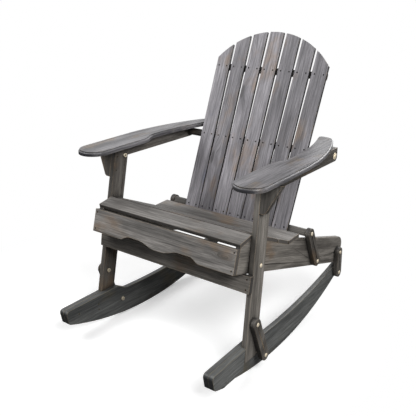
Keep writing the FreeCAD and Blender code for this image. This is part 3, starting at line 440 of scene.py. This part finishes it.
    @staticmethod
    def plate_marks() -> bpy.types.NodeTree:
        """Build the group for the cloudy plate of the fasteners and its fine scuffs.

        Returns:
            A group that gives clouds and scuffs.
        """
        sheet, given, leave = new_group("plate_marks", {"Point": "vector"}, ("Cloud", "Scuff"))
        cloud = sheet.noise(given["Point"], (260.0, 260.0, 260.0), detail=3.0, rough=0.6)
        scuff = sheet.noise(given["Point"], (900.0, 900.0, 900.0), detail=2.0, rough=0.5)
        sheet.feed(leave["Cloud"], cloud)
        sheet.feed(leave["Scuff"], scuff)
        return sheet.tree


@dataclass(frozen=True)
class Stain:
    """A weathered stain on one kind of board, with painted shade in its seams and on its narrow
    sides.
    """

    dark: Colour
    middle: Colour
    light: Colour
    brown: Colour
    blue: Colour
    worn: Colour
    ends: Colour
    wear: float
    knots: float
    roughness: float
    # Share of painted shade on the narrow side faces of the board.
    side_shade: float = 0.0
    lines: float = 62.0
    middle_share: float = 0.45
    brown_share: float = 0.75
    blue_share: float = 0.6
    halo_share: float = 0.35
    knot_share: float = 0.65
    end_share: float = 0.85
    worn_share: float = 0.9
    # Share of the painted shade in the seams.
    seam_shade_share: float = 0.8
    specular: float = 0.42
    bump: float = 0.5
    bump_depth: float = 0.0006
    patch_span: Span = Span(0.34, 0.66)
    brown_span: Span = Span(0.62, 0.78)
    blue_span: Span = Span(0.42, 0.26)
    fibre_span: Span = Span(0.4, 0.6, 0.7, 1.2)
    figure_span: Span = Span(0.0, 1.0, 1.05, 0.9)
    streak_span: Span = Span(0.34, 0.56, 0.69, 1.04)

    def material(self, name: str, effects: SharedEffects, basis: Matrix, base: Vector,
                 seed: float, tone: float, warmth: float) -> bpy.types.Material:
        """Make one board's material.

        Args:
            name: Name of the material.
            effects: The shared groups.
            basis: Columns along the grain, across the board and out of its face.
            base: A point of the board.
            seed: Moves the grain, so that no two boards match.
            tone: Lightness of the board, from -1 to 1.
            warmth: Share of brown, from 0 to 1, which blue gives way to.

        Returns:
            The material.
        """
        made, sheet = new_material(name)
        point = sheet.add("ShaderNodeTexCoord")
        placed = {"Vector": point.outputs["Object"], "Location": base, "Rotation": basis.to_euler()}
        board = sheet.add("ShaderNodeMapping", placed, vector_type="TEXTURE").outputs[0]
        spot = {"Board": board, "Seed": seed}
        side = {"Side": point.outputs["Normal"]}
        knot_seed = seed * 3.3
        knots = sheet.place(effects.knots, {**spot, "Seed": knot_seed, "Share": self.knots})
        grain = sheet.place(effects.grain, {**spot, "Shift": knots["Shift"], "Lines": self.lines})
        wear = sheet.place(effects.wear, {**spot, "Amount": self.wear})
        ends = sheet.place(effects.ends, {**side, "Along": basis.col[0].copy()})
        # Mask of the narrow side faces across the board, for painted shade in the gaps between
        # boards.
        side_shade = sheet.place(effects.ends, {**side, "Along": basis.col[1].copy()})
        seams = sheet.place(effects.seams, spot)
        fleck = sheet.grey(self.fleck(sheet, grain, tone))
        colour = sheet.mix(1.0, self.tint(sheet, grain, tone, warmth), fleck, "MULTIPLY")
        for mask, strength, second in (
            (knots["Halo"], self.halo_share, self.dark),
            (knots["Knot"], self.knot_share, self.ends),
            (ends["End"], self.end_share, self.ends),
            # Side faces painted dark with the end-grain colour, as painted shade.
            (side_shade["End"], self.side_shade, self.ends),
            (wear["Worn"], self.worn_share, self.worn),
            # Painted shade in the seams where boards meet.
            (seams["Seam"], self.seam_shade_share, SEAM_SHADE),
        ):
            colour = sheet.cover(colour, mask, strength, second)
        polish = Span(0.3, 0.7, self.roughness + 0.08, self.roughness - 0.06)
        gloss = sheet.spread(grain["Fibre"], polish)
        feeds = {"Base Color": colour, "Roughness": gloss, "Specular IOR Level": self.specular}
        sheet.surface(grain["Height"], self.bump, self.bump_depth, feeds)
        return made

    def tint(self, sheet: NodeSheet, grain: dict[str, Socket], tone: float,
             warmth: float) -> Socket:
        """Mix the stain's broad patches of dark, light, brown and blue.

        Args:
            sheet: The sheet to add to.
            grain: The outputs of the board's grain.
            tone: Lightness of the board.
            warmth: Share of brown.

        Returns:
            The colour's socket.
        """
        more_light, more_brown, less_blue = -0.1 * tone, -0.3 * warmth, -0.2 * warmth
        patch = sheet.spread(grain["Patch"], self.patch_span, more_light)
        colour = sheet.mix(patch, self.dark, self.light)
        colour = sheet.mix(self.middle_share, colour, self.middle)
        bloom = sheet.spread(grain["Bloom"], self.brown_span, more_brown)
        colour = sheet.cover(colour, bloom, self.brown_share, self.brown)
        cool = sheet.spread(grain["Bloom"], self.blue_span, less_blue)
        return sheet.cover(colour, cool, self.blue_share, self.blue)

    def fleck(self, sheet: NodeSheet, grain: dict[str, Socket], tone: float) -> Socket:
        """Work out how much fibres, growth lines and streaks darken the stain.

        Args:
            sheet: The sheet to add to.
            grain: The outputs of the board's grain.
            tone: Lightness of the board.

        Returns:
            The socket of a factor about 1.
        """
        fibre = sheet.spread(grain["Fibre"], self.fibre_span)
        figure = sheet.spread(grain["Figure"], self.figure_span)
        streak = sheet.spread(grain["Streak"], self.streak_span)
        fleck = sheet.maths("MULTIPLY", sheet.maths("MULTIPLY", fibre, figure), streak)
        gain = 1.0 + 0.5 * tone
        return sheet.maths("MULTIPLY", fleck, gain)


class Finish(Enum):
    """The stains of the chair's boards."""

    BACK = Stain(
        dark=shade(84, 82, 87), middle=shade(123, 120, 124), light=shade(154, 151, 156),
        brown=shade(130, 112, 98), blue=shade(98, 101, 116), worn=shade(168, 144, 112),
        ends=shade(34, 31, 31), wear=0.3, knots=0.06, roughness=0.5, side_shade=0.9,
    )
    KNOTTY_BACK = replace(BACK, knots=0.4)
    SEAT = Stain(
        dark=shade(76, 74, 71), middle=shade(116, 113, 110), light=shade(154, 150, 146),
        brown=shade(124, 106, 88), blue=shade(92, 96, 103), worn=shade(176, 156, 130),
        ends=shade(82, 78, 74), wear=0.75, knots=0.1, roughness=0.5, side_shade=0.55,
    )
    ARM = Stain(
        dark=shade(56, 57, 60), middle=shade(104, 102, 105), light=shade(150, 148, 151),
        brown=shade(116, 102, 86), blue=shade(70, 76, 88), worn=shade(146, 136, 120),
        ends=shade(50, 50, 54), wear=0.35, knots=0.14, roughness=0.38,
    )
    FRAME = Stain(
        dark=shade(62, 58, 53), middle=shade(104, 100, 95), light=shade(146, 141, 134),
        brown=shade(116, 98, 80), blue=shade(74, 78, 80), worn=shade(172, 150, 122),
        ends=shade(46, 44, 43), wear=0.8, knots=0.08, roughness=0.48, side_shade=0.2,
    )
    ROCKER = Stain(
        dark=shade(68, 70, 70), middle=shade(98, 99, 98), light=shade(124, 125, 123),
        brown=shade(104, 98, 84), blue=shade(76, 84, 88), worn=shade(150, 138, 112),
        ends=shade(40, 41, 43), wear=0.75, knots=0.06, roughness=0.48, side_shade=0.3,
    )


@dataclass(frozen=True)
class PlatedMetal:
    """Pale brass or black plate on a fastener."""

    light: Colour
    dark: Colour
    metallic: float
    roughness: float
    bump: float = 0.2
    bump_depth: float = 0.0002
    cloud_span: Span = Span(0.35, 0.68)

    def material(self, name: str, effects: SharedEffects) -> bpy.types.Material:
        """Make the material.

        Args:
            name: Name of the material.
            effects: The shared groups.

        Returns:
            The material.
        """
        made, sheet = new_material(name)
        point = sheet.add("ShaderNodeTexCoord").outputs["Object"]
        marks = sheet.place(effects.plate, {"Point": point})
        colour = sheet.mix(sheet.spread(marks["Cloud"], self.cloud_span), self.light, self.dark)
        polish = Span(0.3, 0.7, self.roughness - 0.08, self.roughness + 0.12)
        gloss = sheet.spread(marks["Scuff"], polish)
        feeds = {"Base Color": colour, "Roughness": gloss, "Metallic": self.metallic}
        sheet.surface(marks["Scuff"], self.bump, self.bump_depth, feeds)
        return made


class Plate(Enum):
    """The plates of the fasteners."""

    # The brass's near-white colour is its pale plate, raised further as a painted highlight so that
    # the domes stay bright in shade.
    BRASS = PlatedMetal(shade(255, 246, 224), shade(232, 212, 178), metallic=0.15, roughness=0.4)
    BLACK = PlatedMetal(shade(16, 15, 15), shade(7, 7, 7), metallic=0.0, roughness=0.75)


def turned(about_x: float = 0.0, about_y: float = 0.0, about_z: float = 0.0) -> Matrix:
    """Give the turn of a board as the model holds it.

    Args:
        about_x: Turn about X in degrees, done first.
        about_y: Turn about Y in degrees.
        about_z: Turn about Z in degrees.

    Returns:
        A 3 by 3 matrix.
    """
    result = Matrix.Rotation(math.radians(about_z), 3, "Z")
    result @= Matrix.Rotation(math.radians(about_y), 3, "Y")
    return result @ Matrix.Rotation(math.radians(about_x), 3, "X")


# How a board lies: its columns point along the grain, across the board and out of its face.
ALONG_X = Matrix(((1, 0, 0), (0, 1, 0), (0, 0, 1)))
ALONG_X_EDGE = Matrix(((1, 0, 0), (0, 0, -1), (0, 1, 0)))
ALONG_Y = Matrix(((0, 1, 0), (1, 0, 0), (0, 0, -1)))
ALONG_Y_EDGE = Matrix(((0, 0, 1), (1, 0, 0), (0, 1, 0)))
ALONG_Z = Matrix(((0, 1, 0), (0, 0, 1), (1, 0, 0)))
ALONG_Z_EDGE = Matrix(((0, 0, 1), (0, 1, 0), (-1, 0, 0)))
SIDES = (("left", -1.0), ("right", 1.0))


@dataclass
class Carpentry:
    """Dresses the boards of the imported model."""

    nodes: dict[str, bpy.types.Object]
    effects: SharedEffects
    edge: float = 0.0011
    edge_steps: int = 2
    edge_from: float = 38.0
    weld_reach: float = 0.00001

    def dress(self, node: str, finish: Finish, basis: Matrix, seed: float, tone: float,
              warmth: float, edge: float | None = None) -> None:
        """Give a board its stain and its eased edges.

        Args:
            node: Name of the board's node.
            finish: The stain.
            basis: Columns along the grain, across the board and out of its face.
            seed: Moves the grain.
            tone: Lightness of the board, from -1 to 1.
            warmth: Share of brown.
            edge: Rounding of the edges in metres, if not the usual one.
        """
        board = self.nodes[node]
        low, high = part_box(node)
        base = (Vector(low) + Vector(high)) / 2
        made = finish.value.material("stain_" + node, self.effects, basis, base, seed, tone, warmth)
        board.data.materials.clear()
        board.data.materials.append(made)
        weld = board.modifiers.new("joined", "WELD")
        weld.merge_threshold = self.weld_reach
        ease = board.modifiers.new("eased_edges", "BEVEL")
        ease.width = self.edge if edge is None else edge
        ease.segments = self.edge_steps
        ease.limit_method = "ANGLE"
        ease.angle_limit = math.radians(self.edge_from)
        ease.harden_normals = True
        ease.use_clamp_overlap = True
        LOG.info("board %s", node)


@dataclass
class Seat:
    """The apron, the slats and the rails that carry them."""

    work: Carpentry
    apron_lean: float = 15.25
    slat_tilts: tuple[float, ...] = (10.3, -23.8, -23.8, -23.8, 2.4)
    slat_tones: tuple[float, ...] = (-0.12, -0.15, 0.0, 0.05, 0.1)
    rail_fall: float = 17.35

    def build(self) -> None:
        """Dress the seat."""
        face = turned(-self.apron_lean) @ ALONG_X_EDGE
        self.work.dress("front_apron", Finish.SEAT, face, seed=2.1, tone=0.15, warmth=0.35)
        for number, (tilt, tone) in enumerate(zip(self.slat_tilts, self.slat_tones), start=1):
            face, seed = turned(tilt) @ ALONG_X, 4.0 + 1.37 * number
            self.work.dress(f"seat_slat_{number}", Finish.SEAT, face, seed, tone, warmth=0.3)
        face = turned(-self.rail_fall) @ ALONG_Y_EDGE
        for side, seed in (("left", 11.2), ("right", 12.9)):
            self.work.dress("seat_rail_" + side, Finish.FRAME, face, seed, tone=0.52, warmth=0.3)


@dataclass
class FoldingBack:
    """The fanned back with its bars, and the links that carry it."""

    work: Carpentry
    tilt: float = 22.73
    link_lean: float = 25.0
    tones: tuple[float, ...] = (0.25, -0.05, 0.45, 0.25, -0.22, -0.35, -0.35)
    warmths: tuple[float, ...] = (0.22, 0.26, 0.3, 0.42, 0.32, 0.25, 0.18)
    knotty: tuple[int, ...] = (2, 3)
    bars: tuple[tuple[str, float], ...] = (
        ("back_top_batten", 31.0), ("back_middle_bar", 32.7), ("back_lower_bar", 34.1),
    )

    def build(self) -> None:
        """Dress the back."""
        lean = turned(-self.tilt)
        for number, (tone, warmth) in enumerate(zip(self.tones, self.warmths), start=1):
            finish = Finish.KNOTTY_BACK if number in self.knotty else Finish.BACK
            seed = 20.0 + 2.71 * number
            self.work.dress(f"back_slat_{number}", finish, lean @ ALONG_Z, seed, tone, warmth)
        for node, seed in self.bars:
            self.work.dress(node, Finish.FRAME, lean @ ALONG_X, seed, tone=-0.4, warmth=0.2)
        face = turned(self.link_lean) @ ALONG_Z_EDGE
        for side, seed in (("left", 36.2), ("right", 38.9)):
            self.work.dress("back_link_" + side, Finish.FRAME, face, seed, tone=-0.2, warmth=0.25)


@dataclass
class Arms:
    """The arms and the rails below them."""

    work: Carpentry
    edge: float = 0.0006

    def build(self) -> None:
        """Dress the arms."""
        for side, seed in (("left", 41.3), ("right", 43.8)):
            self.work.dress("arm_" + side, Finish.ARM, ALONG_Y, seed, 0.0, 0.35, self.edge)
            self.work.dress("arm_rail_" + side, Finish.FRAME, ALONG_Y_EDGE, seed + 3.1, -0.1, 0.3)


@dataclass
class Underframe:
    """The legs, corbels, stretcher, rockers and links."""

    work: Carpentry
    leg_lean: float = 10.1
    leg_splay: float = 2.1
    brace_lean: float = 30.0
    toe: float = 1.3
    # The left leg is painted darker as painted shade and the right leg lighter as painted light, as
    # the light falls from the right.
    leg_tones_and_light: tuple[float, float] = (-0.25, 0.6)
    seeds: tuple[float, float] = (53.3, 57.9)

    def build(self) -> None:
        """Dress the underframe."""
        face = turned(-self.leg_lean) @ ALONG_X_EDGE
        self.work.dress("front_stretcher", Finish.FRAME, face, seed=51.7, tone=0.25, warmth=0.5)
        for (side, sign), tone, seed in zip(SIDES, self.leg_tones_and_light, self.seeds):
            lean = turned(-self.leg_lean, -self.leg_splay * sign)
            brace = turned(-self.brace_lean, -self.leg_splay * sign) @ ALONG_Z_EDGE
            toe = turned(0.0, 0.0, self.toe * sign) @ ALONG_Y_EDGE
            # Rockers and blocks on the right are painted lighter and those on the left darker, as
            # painted light and shade from the right.
            block_tone_and_light = 0.05 + 0.3 * sign
            for node, finish, basis, step, light, warmth in (
                ("front_leg_", Finish.FRAME, lean @ ALONG_Z_EDGE, 0.0, tone, 0.3),
                ("arm_corbel_", Finish.FRAME, lean @ ALONG_Z, 1.3, -0.45, 0.45),
                ("brace_link_", Finish.FRAME, brace, 2.2, -0.1, 0.25),
                ("rear_link_", Finish.FRAME, ALONG_Z_EDGE, 3.9, -0.2, 0.2),
                ("rocker_", Finish.ROCKER, toe, 5.1, 0.22 * sign, 0.12),
                ("rocker_block_", Finish.ROCKER, toe, 6.4, block_tone_and_light, 0.1),
            ):
                self.work.dress(node + side, finish, basis, seed + step, light, warmth)


class Turnery:
    """Builds small turned and pressed metal parts into one mesh."""

    round_points = 28
    nut_points = 24

    def __init__(self) -> None:
        """Start with an empty mesh."""
        self.form = bmesh.new()

    def point(self, centre: Vector, turn: Matrix, out: Vector, along: float) -> bmesh.types.BMVert:
        """Add a point.

        Args:
            centre: Start of the axis.
            turn: Matrix whose third column is the axis.
            out: The point's place across the axis.
            along: Its distance along the axis.

        Returns:
            The point.
        """
        return self.form.verts.new(centre + turn @ (out + Vector((0.0, 0.0, along))))

    def ring(self, centre: Vector, turn: Matrix, along: float,
             reach: Callable[[float], float], count: int) -> Ring:
        """Add a ring of points about an axis.

        Args:
            centre: Start of the axis.
            turn: Matrix whose third column is the axis.
            along: Distance of the ring along the axis.
            reach: Function from an angle to the distance from the axis.
            count: Number of points.

        Returns:
            The ring's points.
        """
        points = []
        for step in range(count):
            angle = math.tau * step / count
            out = Vector((math.cos(angle), math.sin(angle), 0.0)) * reach(angle)
            points.append(self.point(centre, turn, out, along))
        return points

    def bridge(self, rings: list[Ring], flip: bool = False) -> None:
        """Join rings to each other with faces of four sides.

        Args:
            rings: The rings in order along the axis.
            flip: Turn the faces the other way.
        """
        for first, second in zip(rings, rings[1:]):
            for step in range(len(first)):
                after = (step + 1) % len(first)
                corners = (first[step], first[after], second[after], second[step])
                self.form.faces.new(tuple(reversed(corners)) if flip else corners)

    def cap(self, ring: Ring, flip: bool = False) -> None:
        """Close a ring with one face."""
        self.form.faces.new(list(reversed(ring)) if flip else ring)

    def skin(self, rings: list[Ring]) -> None:
        """Join rings to a closed skin, with a face on both ends.

        Args:
            rings: The rings in order along the axis.
        """
        self.bridge(rings)
        self.cap(rings[0], flip=True)
        self.cap(rings[-1])

    def turned_part(self, centre: Vector, turn: Matrix, profile: list[tuple[float, float]]) -> None:
        """Add a part that is round about its axis.

        Args:
            centre: Start of the axis.
            turn: Matrix whose third column is the axis.
            profile: Distances along the axis and from it, in order.
        """
        self.skin([
            self.ring(centre, turn, along, lambda angle, out=out: out, self.round_points)
            for along, out in profile
        ])

    def hex_nut(self, centre: Vector, turn: Matrix, across: float, thick: float) -> None:
        """Add a nut with six sides and eased corners.

        Args:
            centre: Middle of its inner face.
            turn: Matrix whose third column is the axis.
            across: Distance from the axis to a corner.
            thick: Its thickness.
        """
        half_side = math.pi / 6
        flat = across * math.cos(half_side)
        corner = flat * 1.02
        ease = thick * 0.16

        def six(angle: float) -> float:
            """Give the distance to the side at an angle."""
            return flat / math.cos((angle + half_side) % (math.pi / 3) - half_side)

        def eased(angle: float) -> float:
            """Give the distance where the corners are eased."""
            return min(six(angle), corner)

        levels = ((0.0, eased), (ease, six), (thick - ease, six), (thick, eased))
        count = self.nut_points
        self.skin([self.ring(centre, turn, along, reach, count) for along, reach in levels])

    def cross_head(self, centre: Vector, turn: Matrix, radius: float, height: float) -> None:
        """Add a screw head with a cross recess in both ends.

        Args:
            centre: Middle of the head.
            turn: Matrix whose third column is the axis.
            radius: Radius of the head.
            height: Height of the head.
        """
        arm, slot = radius * 0.62, radius * 0.17
        ease, depth = radius * 0.12, radius * 0.35
        half = height / 2
        upper = [(arm, slot), (slot, slot), (slot, arm), (-slot, arm), (-slot, slot), (-arm, slot)]
        lower = [(-x, -y) for x, y in upper]
        cross = [Vector((x, y, 0.0)) for x, y in upper + lower]
        inner = radius - ease
        levels = ((-half, inner), (ease - half, radius), (half - ease, radius), (half, inner))
        rings = [
            [self.point(centre, turn, corner.normalized() * out, along) for corner in cross]
            for along, out in levels
        ]
        self.bridge(rings)
        for rim, end, floor in ((rings[0], -half, depth - half), (rings[-1], half, half - depth)):
            mouth = [self.point(centre, turn, corner, end) for corner in cross]
            foot = [self.point(centre, turn, corner, floor) for corner in cross]
            self.bridge([rim, mouth, foot], flip=end < 0)
            self.cap(foot, flip=end < 0)

    def finish(self, name: str) -> bpy.types.Object:
        """Turn the mesh into an object.

        Args:
            name: Name of the piece.

        Returns:
            The object.
        """
        bmesh.ops.recalc_face_normals(self.form, faces=self.form.faces)
        mesh = bpy.data.meshes.new(name)
        self.form.to_mesh(mesh)
        self.form.free()
        piece = bpy.data.objects.new(name, mesh)
        bpy.context.scene.collection.objects.link(piece)
        return piece


@dataclass(frozen=True)
class PlainFace:
    """One face of a plain fastener."""

    corners: tuple[Vector, ...]
    normal: Vector
    area: float


def middle_of(values: Sequence[float]) -> float:
    """Give the middle between the lowest and the highest value."""
    return (min(values) + max(values)) / 2


@dataclass
class Fasteners:
    """The domed bolts with their washers and nuts, and the sunk screws."""

    nodes: dict[str, bpy.types.Object]
    effects: SharedEffects
    head_height: float = 0.003
    head_sunk: float = 0.0002
    rim_low: float = 0.0004
    rim_high: float = 0.0008
    dome_steps: int = 6
    shank_radius: float = 0.004
    shank_ease: float = 0.0006
    nut_height: float = 0.005
    washer_height: float = 0.0015
    washer_from: float = 0.0105
    screw_share: float = 1.08
    smooth_below: float = 32.0
    weld_reach: float = 0.00002
    cap_depth: float = 0.0001

    def build(self) -> None:
        """Build and dress the fasteners."""
        for node, body in (("frame_bolts", "root"), ("back_bolts", "back")):
            self.stand_in(node, body, Plate.BRASS, self.bolt)
        for node, body in (("frame_screws", "root"), ("back_screws", "back")):
            self.stand_in(node, body, Plate.BLACK, self.screw)

    def stand_in(self, node: str, body: str, plate: Plate,
                 make: Callable[[Turnery, list[PlainFace]], None]) -> None:
        """Replace a node's plain fasteners by detailed ones.

        Args:
            node: Name of the node.
            body: Name of the body that it rides on.
            plate: Its plate.
            make: Method that adds one fastener to a mesh.
        """
        lathe = Turnery()
        for island in self.islands(self.nodes[node].data):
            make(lathe, island)
        piece = lathe.finish(node + "_detail")
        piece.data.materials.append(plate.value.material("plate_" + node, self.effects))
        crease = piece.modifiers.new("smooth_by_angle", "EDGE_SPLIT")
        crease.split_angle = math.radians(self.smooth_below)
        for face in piece.data.polygons:
            face.use_smooth = True
        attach(piece, body)
        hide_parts(node)
        LOG.info("fasteners %s", node)

    def islands(self, mesh: bpy.types.Mesh) -> list[list[PlainFace]]:
        """Split a mesh into its loose parts.

        Args:
            mesh: The mesh.

        Returns:
            The faces of each part.
        """
        form = bmesh.new()
        form.from_mesh(mesh)
        bmesh.ops.remove_doubles(form, verts=form.verts, dist=self.weld_reach)
        parts = []
        waiting = set(form.faces)
        for seed in form.faces:
            if seed not in waiting:
                continue
            waiting.discard(seed)
            found, front = [], [seed]
            while front:
                face = front.pop()
                corners = tuple(vertex.co.copy() for vertex in face.verts)
                found.append(PlainFace(corners, face.normal.copy(), face.calc_area()))
                for other in (other for edge in face.edges for other in edge.link_faces):
                    if other in waiting:
                        waiting.discard(other)
                        front.append(other)
            parts.append(found)
        form.free()
        return parts

    def bolt(self, lathe: Turnery, island: list[PlainFace]) -> None:
        """Add a domed bolt, with its washer and nut where it has them, in place of a plain one.

        Args:
            lathe: The mesh to add to.
            island: The plain bolt's faces.
        """
        past_head, past_washer, within_nut = 1.02, 1.1, 0.9
        head_on_washer, least_nut = 0.62, 1.3
        points = [point for face in island for point in face.corners]
        sign = 1.0 if sum(point.x for point in points) > 0 else -1.0
        middle_y = middle_of([point.y for point in points])
        middle_z = middle_of([point.z for point in points])
        places = [
            (point.x * sign, math.hypot(point.y - middle_y, point.z - middle_z)) for point in points
        ]
        outer, inner = max(places)[0], min(places)[0]
        base = outer - self.head_height
        turn = Matrix.Rotation(math.radians(90.0 * sign), 3, "Y")
        start = Vector((base * sign, middle_y, middle_z))
        head = self.reach(places, outer - self.head_height * past_head, outer)
        washer = self.reach(places, base - self.washer_height * past_washer, base)
        nut = self.reach(places, inner, inner + self.nut_height * within_nut)
        if washer > self.washer_from:
            head = min(head, washer * head_on_washer)
            lathe.turned_part(start, turn, self.washer(washer))
        lathe.turned_part(start, turn, self.dome(head))
        lathe.turned_part(start, turn, self.shank(inner - base))
        if nut > self.shank_radius * least_nut:
            lathe.hex_nut(Vector((inner * sign, middle_y, middle_z)), turn, nut, self.nut_height)

    @staticmethod
    def reach(places: list[tuple[float, float]], low: float, high: float) -> float:
        """Give the greatest distance from the axis between two places along it.

        Args:
            places: Distances along the axis and from it.
            low: Start of the stretch.
            high: End of the stretch.

        Returns:
            The distance, or 0 where no point lies.
        """
        return max((out for along, out in places if low <= along <= high), default=0.0)

    def washer(self, radius: float) -> list[tuple[float, float]]:
        """Give the profile of a washer below the head.

        Args:
            radius: Its radius.

        Returns:
            Distances along the axis and from it.
        """
        back, ease = -self.washer_height, self.washer_height * 0.2
        return [(back, radius - ease), (back + ease, radius), (-ease, radius), (0.0, radius - ease)]

    def dome(self, radius: float) -> list[tuple[float, float]]:
        """Give the profile of a domed head.

        Args:
            radius: Its radius.

        Returns:
            Distances along the axis and from it.
        """
        foot, tip = radius * 0.97, radius * 0.06
        profile = [(-self.head_sunk, foot), (self.rim_low, radius), (self.rim_high, radius)]
        for step in range(1, self.dome_steps + 1):
            angle = math.radians(90.0 / self.dome_steps * step)
            lift = self.rim_high + (self.head_height - self.rim_high) * math.sin(angle)
            profile.append((lift, max(radius * math.cos(angle), tip)))
        return profile

    def shank(self, end: float) -> list[tuple[float, float]]:
        """Give the profile of a shank.

        Args:
            end: Place of its inner end along the axis.

        Returns:
            Distances along the axis and from it.
        """
        tip = self.shank_radius * 0.86
        return [(end, tip), (end + self.shank_ease, self.shank_radius), (0.0, self.shank_radius)]

    def screw(self, lathe: Turnery, island: list[PlainFace]) -> None:
        """Add a screw head with a cross recess in place of a plain one.

        Args:
            lathe: The mesh to add to.
            island: The plain head's faces.
        """
        areas: dict[Triple, float] = {}
        for face in island:
            key = tuple(round(part, 2) for part in face.normal)
            areas[key] = areas.get(key, 0.0) + face.area
        axis = Vector(max(sorted(areas), key=areas.get)).normalized()
        points = [point for face in island for point in face.corners]
        along = [point.dot(axis) for point in points]
        height = max(along) - min(along)
        cap = [point for point, place in zip(points, along) if place > max(along) - self.cap_depth]
        average = sum(cap, Vector()) / len(cap)
        radius = max((point - average).length for point in cap) * self.screw_share
        middle = Vector([middle_of(values) for values in zip(*cap)])
        turn = axis.to_track_quat("Z", "Y").to_matrix()
        lathe.cross_head(middle - axis * height / 2, turn, radius, height)


@dataclass(frozen=True)
class SoftLamp:
    """A round soft lamp that points at the middle of the chair."""

    name: str
    place: Triple
    size: float
    watts: float
    aim: Triple = (0.0, 0.0, 0.5)

    def hang(self) -> None:
        """Hang the lamp."""
        light = bpy.data.lights.new(self.name, "AREA")
        light.shape = "DISK"
        light.size = self.size
        light.energy = self.watts
        lamp = bpy.data.objects.new(self.name, light)
        lamp.location = self.place
        aim = Vector(self.aim) - Vector(self.place)
        lamp.rotation_euler = aim.to_track_quat("-Z", "Y").to_euler()
        bpy.context.scene.collection.objects.link(lamp)


@dataclass
class Studio:
    """The floor, the light and the camera."""

    camera_at: Triple = (1.23412784, -1.68541083, 1.20995875)
    yaw: float = 36.739145
    pitch: float = 20.219869
    focal_pixels: float = 624.244985
    image_pixels: float = 416.0
    sensor: float = 36.0
    lamps: tuple[SoftLamp, ...] = (
        SoftLamp("key", (-1.6, -1.5, 2.5), size=1.8, watts=52.0),
        SoftLamp("fill", (2.4, -1.2, 2.4), size=1.7, watts=88.0),
        SoftLamp("rear", (0.3, 2.9, 1.9), size=2.2, watts=54.0),
    )
    sky: float = 0.085
    floor_half: float = 40.0
    floor_glow: float = 0.3
    floor_paint: Colour = (0.97, 0.97, 0.97, 1.0)
    floor_bounce: Colour = (0.08, 0.08, 0.08, 1.0)
    shadow_middle: Triple = (-0.25, -0.08, 0.0)
    shadow_span: Span = Span(0.42, 0.92)

    def build(self) -> None:
        """Set up the studio."""
        self.floor()
        for lamp in self.lamps:
            lamp.hang()
        self.surround()
        self.camera()
        bpy.context.scene.view_settings.view_transform = "Standard"

    def floor(self) -> None:
        """Lay a wide pale floor that shows white and keeps the shadow."""
        mesh = bpy.data.meshes.new("studio_floor")
        form = bmesh.new()
        bmesh.ops.create_grid(form, x_segments=1, y_segments=1, size=self.floor_half)
        form.to_mesh(mesh)
        form.free()
        floor = bpy.data.objects.new("studio_floor", mesh)
        bpy.context.scene.collection.objects.link(floor)
        made, sheet = new_material("studio_floor")
        seen = sheet.add("ShaderNodeLightPath").outputs["Is Camera Ray"]
        place = sheet.add("ShaderNodeTexCoord").outputs["Object"]
        away = sheet.vectors("DISTANCE", place, self.shadow_middle)
        far = sheet.spread(away, self.shadow_span)
        paint = sheet.add("ShaderNodeBsdfDiffuse", {"Color": self.floor_paint}).outputs[0]
        faint = {"Color": WHITE, "Strength": self.floor_glow}
        glow = sheet.add("ShaderNodeEmission", faint).outputs[0]
        lit = sheet.add("ShaderNodeAddShader", {0: paint, 1: glow}).outputs[0]
        blank = sheet.add("ShaderNodeEmission", {"Color": WHITE, "Strength": 1.0}).outputs[0]
        shown = sheet.add("ShaderNodeMixShader", {0: far, 1: lit, 2: blank}).outputs[0]
        bounce = sheet.add("ShaderNodeBsdfDiffuse", {"Color": self.floor_bounce}).outputs[0]
        both = sheet.add("ShaderNodeMixShader", {0: seen, 1: bounce, 2: shown}).outputs[0]
        sheet.add("ShaderNodeOutputMaterial", {"Surface": both})
        mesh.materials.append(made)

    def surround(self) -> None:
        """Light the room evenly and show it white."""
        world = bpy.data.worlds.new("studio_room")
        bpy.context.scene.world = world
        world.use_nodes = True
        world.node_tree.nodes.clear()
        sheet = NodeSheet(world.node_tree)
        path = sheet.add("ShaderNodeLightPath").outputs
        shown = sheet.maths("MAXIMUM", path["Is Camera Ray"], path["Is Glossy Ray"])
        shown = sheet.maths("MAXIMUM", shown, path["Is Transmission Ray"])
        room = sheet.add("ShaderNodeBackground", {"Color": WHITE, "Strength": self.sky}).outputs[0]
        white = sheet.add("ShaderNodeBackground", {"Color": WHITE, "Strength": 1.0}).outputs[0]
        both = sheet.add("ShaderNodeMixShader", {0: shown, 1: room, 2: white}).outputs[0]
        sheet.add("ShaderNodeOutputWorld", {"Surface": both})

    def camera(self) -> None:
        """Place the camera at the picture's viewing angle."""
        lens = bpy.data.cameras.new("camera")
        lens.sensor_width = self.sensor
        lens.lens = self.focal_pixels / self.image_pixels * self.sensor
        view = bpy.data.objects.new("camera", lens)
        view.location = self.camera_at
        view.rotation_euler = (math.radians(90.0 - self.pitch), 0.0, math.radians(self.yaw))
        bpy.context.scene.collection.objects.link(view)
        bpy.context.scene.camera = view


def main() -> None:
    """Build the chair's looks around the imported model."""
    logging.basicConfig(level=logging.INFO, format="%(message)s")
    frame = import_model()
    nodes = frame["nodes"]
    effects = SharedEffects.build()
    work = Carpentry(nodes, effects)
    boards = (Seat(work), FoldingBack(work), Arms(work), Underframe(work))
    for part in (*boards, Fasteners(nodes, effects), Studio()):
        part.build()
        LOG.info("built %s", type(part).__name__)


if __name__ == "__main__":
    main()
